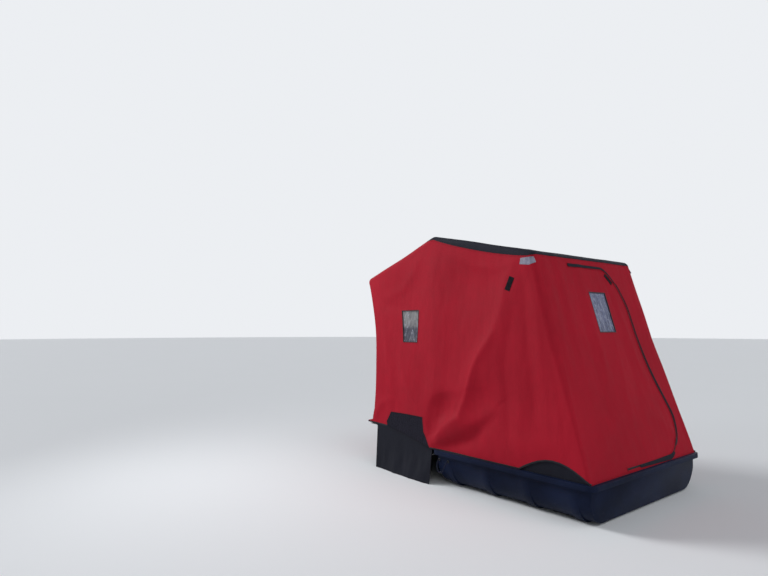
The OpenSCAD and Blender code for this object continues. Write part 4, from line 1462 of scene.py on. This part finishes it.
class HUT_OT_rear_wall(bpy.types.Operator):
    """Red rear wall round the door"""
    bl_idname = "hut.rear_wall"
    bl_label = "Rear wall"

    def execute(self, context):
        clear_top = DOOR_TOP + DOOR_GAP
        zip_line = door_line(DOOR_GAP)
        arc = [p for p in zip_line[1:-1] if p[0] >= DOOR_SHOULDER[0] - 1e-6]
        right = [p for p in sheet_outline(0.0, clear_top, left=SILL_END) if p[0] > SILL_END + 1e-6]
        pieces = {
            "rear_cloth_left": ("rear_wall_left", sheet_outline(0.0, REAR_SEAM, right=HINGE_X)),
            "rear_cloth_top": ("rear_wall_top", sheet_outline(clear_top, REAR_SEAM, left=HINGE_X)),
            "rear_cloth_right": ("rear_wall_right", without_repeats(
                [(SILL_END, 0.0), *right, *arc[::-1], (DOOR_HEEL, SILL_TOP), (SILL_END, SILL_TOP)])),
            "rear_cloth_foot": ("rear_sill", [
                (HINGE_X, 0.0), (SILL_END, 0.0), (SILL_END, SILL_TOP), (HINGE_X, SILL_TOP)])}
        seams = [[(-1.0, mark), (1.0, mark)] for mark in (REAR_SEAM, 0.0)] + [zip_line]
        for name, (node, outline) in pieces.items():
            panel(name, outline, sheet_skin, red_cloth, [node], near_corner=near_sheet_edge, seams=seams)
        return {"FINISHED"}


class HUT_OT_door(bpy.types.Operator):
    """Door flap with its window, tab and foot flap, and the zip round it"""
    bl_idname = "hut.door"
    bl_label = "Door"

    zip_line = door_line(DOOR_GAP / 2)
    # The slider stands at this one of the points that lie 20 mm apart along the zip
    parked = 40
    slider_size = (0.013, 0.018, 0.0045)
    pull_size = (0.008, 0.040, 0.0022)
    # A tooth's length across the gap, its share of the pitch, and its height
    tooth = (0.0062, 0.46, 0.0026)
    # Black flaps over stretches of the zip, as its two ends along it and the widths between them; the top
    # one is measured back from the zip's upper end. They are partly real flaps and partly painted shade:
    # their widths take in the shade beside the zip
    top_flap = (0.640, 0.002), [0.006, 0.014, 0.024, 0.026, 0.026]
    side_flap = (0.800, 2.120), [0.006, 0.016, 0.020, 0.018, 0.013, 0.010, 0.009, 0.007]
    foot_flap = (0.165, 0.700), [0.016, 0.026, 0.034, 0.042, 0.022]

    def teeth(self, name, grow, offset, nodes, body):
        """One side of the zip: a row of moulded teeth that reach into the gap."""
        pitch = bpy.context.scene.hut_sizes.tooth_pitch
        places, ahead = resample(self.zip_line, pitch)
        places = places + ahead * pitch * offset
        points, normals = sheet_skin(places, 0.0012)
        further, _ = sheet_skin(places + ahead * 0.001, 0.0012)
        length, share, height = self.tooth
        size = Matrix.Diagonal((length, pitch * share, height, 1))
        bm = bmesh.new()
        for point, following, up in zip(map(Vector, points), map(Vector, further), map(Vector, normals)):
            forward = (following - point).normalized()
            across = forward.cross(up).normalized()
            matrix = placed(point + across * grow, across, forward, up)
            bmesh.ops.create_cube(bm, size=1.0, matrix=matrix @ size)
        return settle(mesh_object(name, bm, finish(zip_nylon)), nodes, body)

    def slider(self):
        """Slider and its pull, parked in the lower corner of the door."""
        places, _ = resample(self.zip_line, 0.02)
        points, normals = sheet_skin(places[self.parked:self.parked + 2], 0.004)
        forward, up = Vector(points[1] - points[0]).normalized(), Vector(normals[0])
        turn = placed(Vector(points[0]), forward.cross(up).normalized(), forward, up)
        pull = turn @ Matrix.Translation((0.0, -0.026, 0.0035))
        bm = bmesh.new()
        for matrix, size in ((turn, self.slider_size), (pull, self.pull_size)):
            bmesh.ops.create_cube(bm, size=1.0, matrix=matrix @ Matrix.Diagonal((*size, 1)))
        bmesh.ops.bevel(bm, geom=bm.edges[:], offset=0.0009, offset_type="OFFSET", segments=2, profile=0.5,
                        affect="EDGES", material=-1)
        return settle(mesh_object("zip_slider", bm, finish(zip_nylon)), (), "door")

    def execute(self, context):
        skin = sheet_skin
        outline = door_line(0.0)
        opening = oblong(DOOR_WINDOW, WINDOW_SIZE)
        tab = turned(oblong(DOOR_TAB, DOOR_TAB_SIZE), DOOR_TAB, DOOR_TAB_TURN)
        end = line_marks(self.zip_line)[2][-1]
        (low, high), widths = self.top_flap
        top_flap = ribbon(along_door(end - low, end - high), widths)
        (low, high), widths = self.side_flap
        side_flap = ribbon(along_door(low, high, 0.017), widths)
        (low, high), widths = self.foot_flap
        foot_flap = ribbon(along_door(low, high) - (0, 0.006), widths)
        flat = {"proud": 0.0006, "thickness": 0.0012}
        trim = [
            tape("door_tab", tab, skin, webbing, ["door_pull_tab"], "door", cell=FINE_CELL, **RAISED),
            tape("door_zip_tape", door_band(-0.011, 0.0028), skin, zip_nylon, (), "door", **flat),
            tape("door_zip_welt", door_band(-0.012, -0.0035), skin, red_cloth, (), "door", **RAISED),
            tape("door_foot_flap", foot_flap, skin, black_cloth, (), "door", proud=0.0052, thickness=0.0020),
            self.teeth("door_zip_teeth", -0.0018, 0.0, ["rear_door_zip"], "door"),
            self.slider()]
        tape("wall_zip_tape", door_band(0.0032, ZIP_REACH), skin, zip_nylon, **flat)
        tape("wall_zip_welt", door_band(0.0095, ZIP_REACH + 0.002), skin, red_cloth, **RAISED)
        tape("zip_top_flap", top_flap, skin, black_cloth, proud=0.0056, thickness=0.0020)
        tape("zip_side_flap", side_flap, skin, black_cloth, proud=0.0044, thickness=0.0020)
        self.teeth("wall_zip_teeth", 0.0018, 0.5, ["rear_wall_zip"], "hut")
        panel("door_cloth", outline, skin, red_cloth, ["rear_door"], "door", holes=[opening], trim=trim,
              seams=[outline, closed(opening)])
        window("door_pane", DOOR_WINDOW, WINDOW_SIZE, skin, ["rear_door_window"], 47, body="door")
        return {"FINISHED"}


class HUT_OT_front(bpy.types.Operator):
    """Red front slope and front wall with its two windows"""
    bl_idname = "hut.front"
    bl_label = "Front"

    def execute(self, context):
        rests = ["top_hoop", "front_hoop", "base_hoop"]
        panel("front_slope_cloth", sheet_outline(WRAP_MARK, SHOULDER_MARK), sheet_skin, red_cloth,
              ["front_slope_panel"], rests_on=rests, near_corner=near_sheet_edge)
        falling = COVER.marks > SHOULDER_MARK
        marks, heights = COVER.marks[falling][::-1], COVER.points[falling][::-1, 1]
        x, z = FRONT_WINDOW
        ends = np.interp([z + WINDOW_SIZE[1] / 2, z - WINDOW_SIZE[1] / 2], heights, marks)
        middles = [(side * x, float(ends.mean())) for side, _ in SIDES]
        holes = [oblong(m, WINDOW_SIZE) for m in middles]
        panel("front_wall_cloth", sheet_outline(SHOULDER_MARK, END_MARK), sheet_skin, red_cloth,
              ["front_wall"], rests_on=rests, holes=holes, near_corner=near_sheet_edge)
        for middle, (_, word) in zip(middles, SIDES):
            window(f"front_pane_{word}", middle, WINDOW_SIZE, sheet_skin, [f"front_window_{word}"], 61)
        return {"FINISHED"}


class HUT_OT_skirts(bpy.types.Operator):
    """Black snow skirts that hang to the ground at the sides and the front"""
    bl_idname = "hut.skirts"
    bl_label = "Skirts"

    # The front skirt's edges lie this far inside the cover's, which is measured at these two heights
    inset = 0.008
    top_height = 0.36
    foot_height = 0.0

    def execute(self, context):
        how = {"held": "hung", "thickness": context.scene.hut_sizes.skirt_thickness}
        front_top = float(np.interp(SKIRT_FRONT, *zip(GUSSET[-1], POCKET_UNDER)))
        outline = [(SKIRT_REAR, SKIRT_CLEAR), (SKIRT_FRONT, SKIRT_CLEAR), (SKIRT_FRONT, front_top),
                   GUSSET[-1], GUSSET[0], (SKIRT_REAR, RIM_TOP)]
        for side, word in SIDES:
            panel(f"skirt_{word}", outline, side_skirt_skin(side), skirt_cloth, [f"side_skirt_{word}"],
                  rests_on=[f"gusset_{word}"], **how)
        top = half_width(self.top_height) - self.inset
        foot = half_width(self.foot_height) - self.inset
        end = float(SKIRT.marks[-1])
        panel("skirt_front", [(top, 0.0), (foot, end), (-foot, end), (-top, 0.0)], front_skirt_skin,
              skirt_cloth, ["front_skirt"], rests_on=["base_hoop"], **how)
        return {"FINISHED"}


class HUT_OT_stage(bpy.types.Operator):
    """Pale floor, soft studio light and the photograph's camera"""
    bl_idname = "hut.stage"
    bl_label = "Stage"

    # Direction that each sun shines from, its strength and the angle in degrees that it spreads over
    suns = {"key": ((-0.36, 0.74, 0.50), 1.45, 20),
            "fill": ((-0.12, -0.80, 0.60), 1.24, 80),
            "side": ((-0.80, -0.45, 0.35), 0.08, 60)}
    # Lamp that brightens the front of the photograph's side, where it stands and what it points at
    glow_strength = 34.0
    glow_size = 1.2
    glow_place = (-2.7, 2.1, 2.7)
    glow_target = (-0.7, 0.2, 1.3)
    # Radius of the floor, and how far it lies below the part's ground
    floor_radius = 60.0
    floor_drop = 0.0006
    # Light that the sky gives and the colour that is seen of it
    sky_light = (0.22, 0.23, 0.25)
    sky_seen = (0.84, 0.86, 0.89)

    def floor(self, colour):
        """Large round floor just under the sled, plain and pale."""
        f = Finish("studio_floor", Specular_IOR_Level=0.1)
        grain = f.noise(0.6, 2)
        shade = f.blend(grain, tint(colour, 0.985), colour)
        bm = bmesh.new()
        bmesh.ops.create_circle(bm, cap_ends=True, segments=96, radius=self.floor_radius,
                                matrix=Matrix.Translation((0, 0, -self.floor_drop)))
        mesh_object("floor", bm, f.done(Base_Color=shade, Roughness=grain * 0.05 + 0.85))

    def lamp(self, name, kind, strength, source):
        """Lamp that shines from a direction."""
        lamp = bpy.data.lights.new(name, kind)
        lamp.energy = strength
        holder = add_object(name, lamp)
        holder.rotation_euler = Vector(source).to_track_quat("Z", "Y").to_euler()
        return holder

    def sky(self, scene):
        """World that lights weakly but is seen bright, directly, in gloss and through the windows."""
        scene.world = bpy.data.worlds.new("studio")
        scene.world.use_nodes = True
        tree = scene.world.node_tree
        wire = Wire(tree)
        direct, gloss, through = (
            wire.node("LightPath", output=f"Is {ray} Ray") for ray in ("Camera", "Glossy", "Transmission"))
        seen = direct.maximum(gloss.maximum(through))
        colour = wire.node("Mix", {0: seen, 6: (*self.sky_light, 1), 7: (*self.sky_seen, 1)},
                           {"data_type": "RGBA"}, output=2)
        tree.links.new(colour.socket, tree.nodes["Background"].inputs["Color"])

    def execute(self, context):
        scene = context.scene
        self.floor(tuple(scene.hut_colours.floor))
        for name, (source, strength, spread) in self.suns.items():
            self.lamp(name, "SUN", strength, source).data.angle = math.radians(spread)
        away = Vector(self.glow_place) - Vector(self.glow_target)
        glow = self.lamp("glow", "AREA", self.glow_strength, away)
        glow.data.size = self.glow_size
        glow.location = self.glow_place
        self.sky(scene)
        view = scene.hut_view
        scene.camera = add_object("camera", bpy.data.cameras.new("camera"))
        scene.camera.data.lens = view.lens
        scene.camera.location = view.place
        scene.camera.rotation_euler = (math.pi / 2 + view.pitch, 0, -view.heading)
        scene.view_settings.view_transform = "Standard"
        return {"FINISHED"}


STEPS = [HUT_OT_stage, HUT_OT_tow_ropes, HUT_OT_sled, HUT_OT_hoops, HUT_OT_roof, HUT_OT_side_walls,
         HUT_OT_rear_wall, HUT_OT_door, HUT_OT_front, HUT_OT_skirts]


class HUT_PT_panel(bpy.types.Panel):
    """Sidebar panel that lists the hut's steps"""
    bl_idname = "HUT_PT_panel"
    bl_label = "Ice Fishing Hut"
    bl_space_type = "VIEW_3D"
    bl_region_type = "UI"
    bl_category = "Ice Hut"

    def draw(self, context):
        layout = self.layout
        for group in (context.scene.hut_sizes, context.scene.hut_colours, context.scene.hut_view):
            for name in group.__annotations__:
                layout.prop(group, name)
        for step in STEPS:
            layout.operator(step.bl_idname)


CLASSES = [HutSizes, HutColours, HutView, *STEPS, HUT_PT_panel]


def register():
    for cls in CLASSES:
        bpy.utils.register_class(cls)
    bpy.types.Scene.hut_sizes = PointerProperty(type=HutSizes)
    bpy.types.Scene.hut_colours = PointerProperty(type=HutColours)
    bpy.types.Scene.hut_view = PointerProperty(type=HutView)


def unregister():
    del bpy.types.Scene.hut_view
    del bpy.types.Scene.hut_colours
    del bpy.types.Scene.hut_sizes
    for cls in reversed(CLASSES):
        bpy.utils.unregister_class(cls)


def main():
    """Makes the stage and every piece."""
    register()
    for step in STEPS:
        group, name = step.bl_idname.split(".")
        getattr(getattr(bpy.ops, group), name)()


if __name__ == "__main__":
    main()
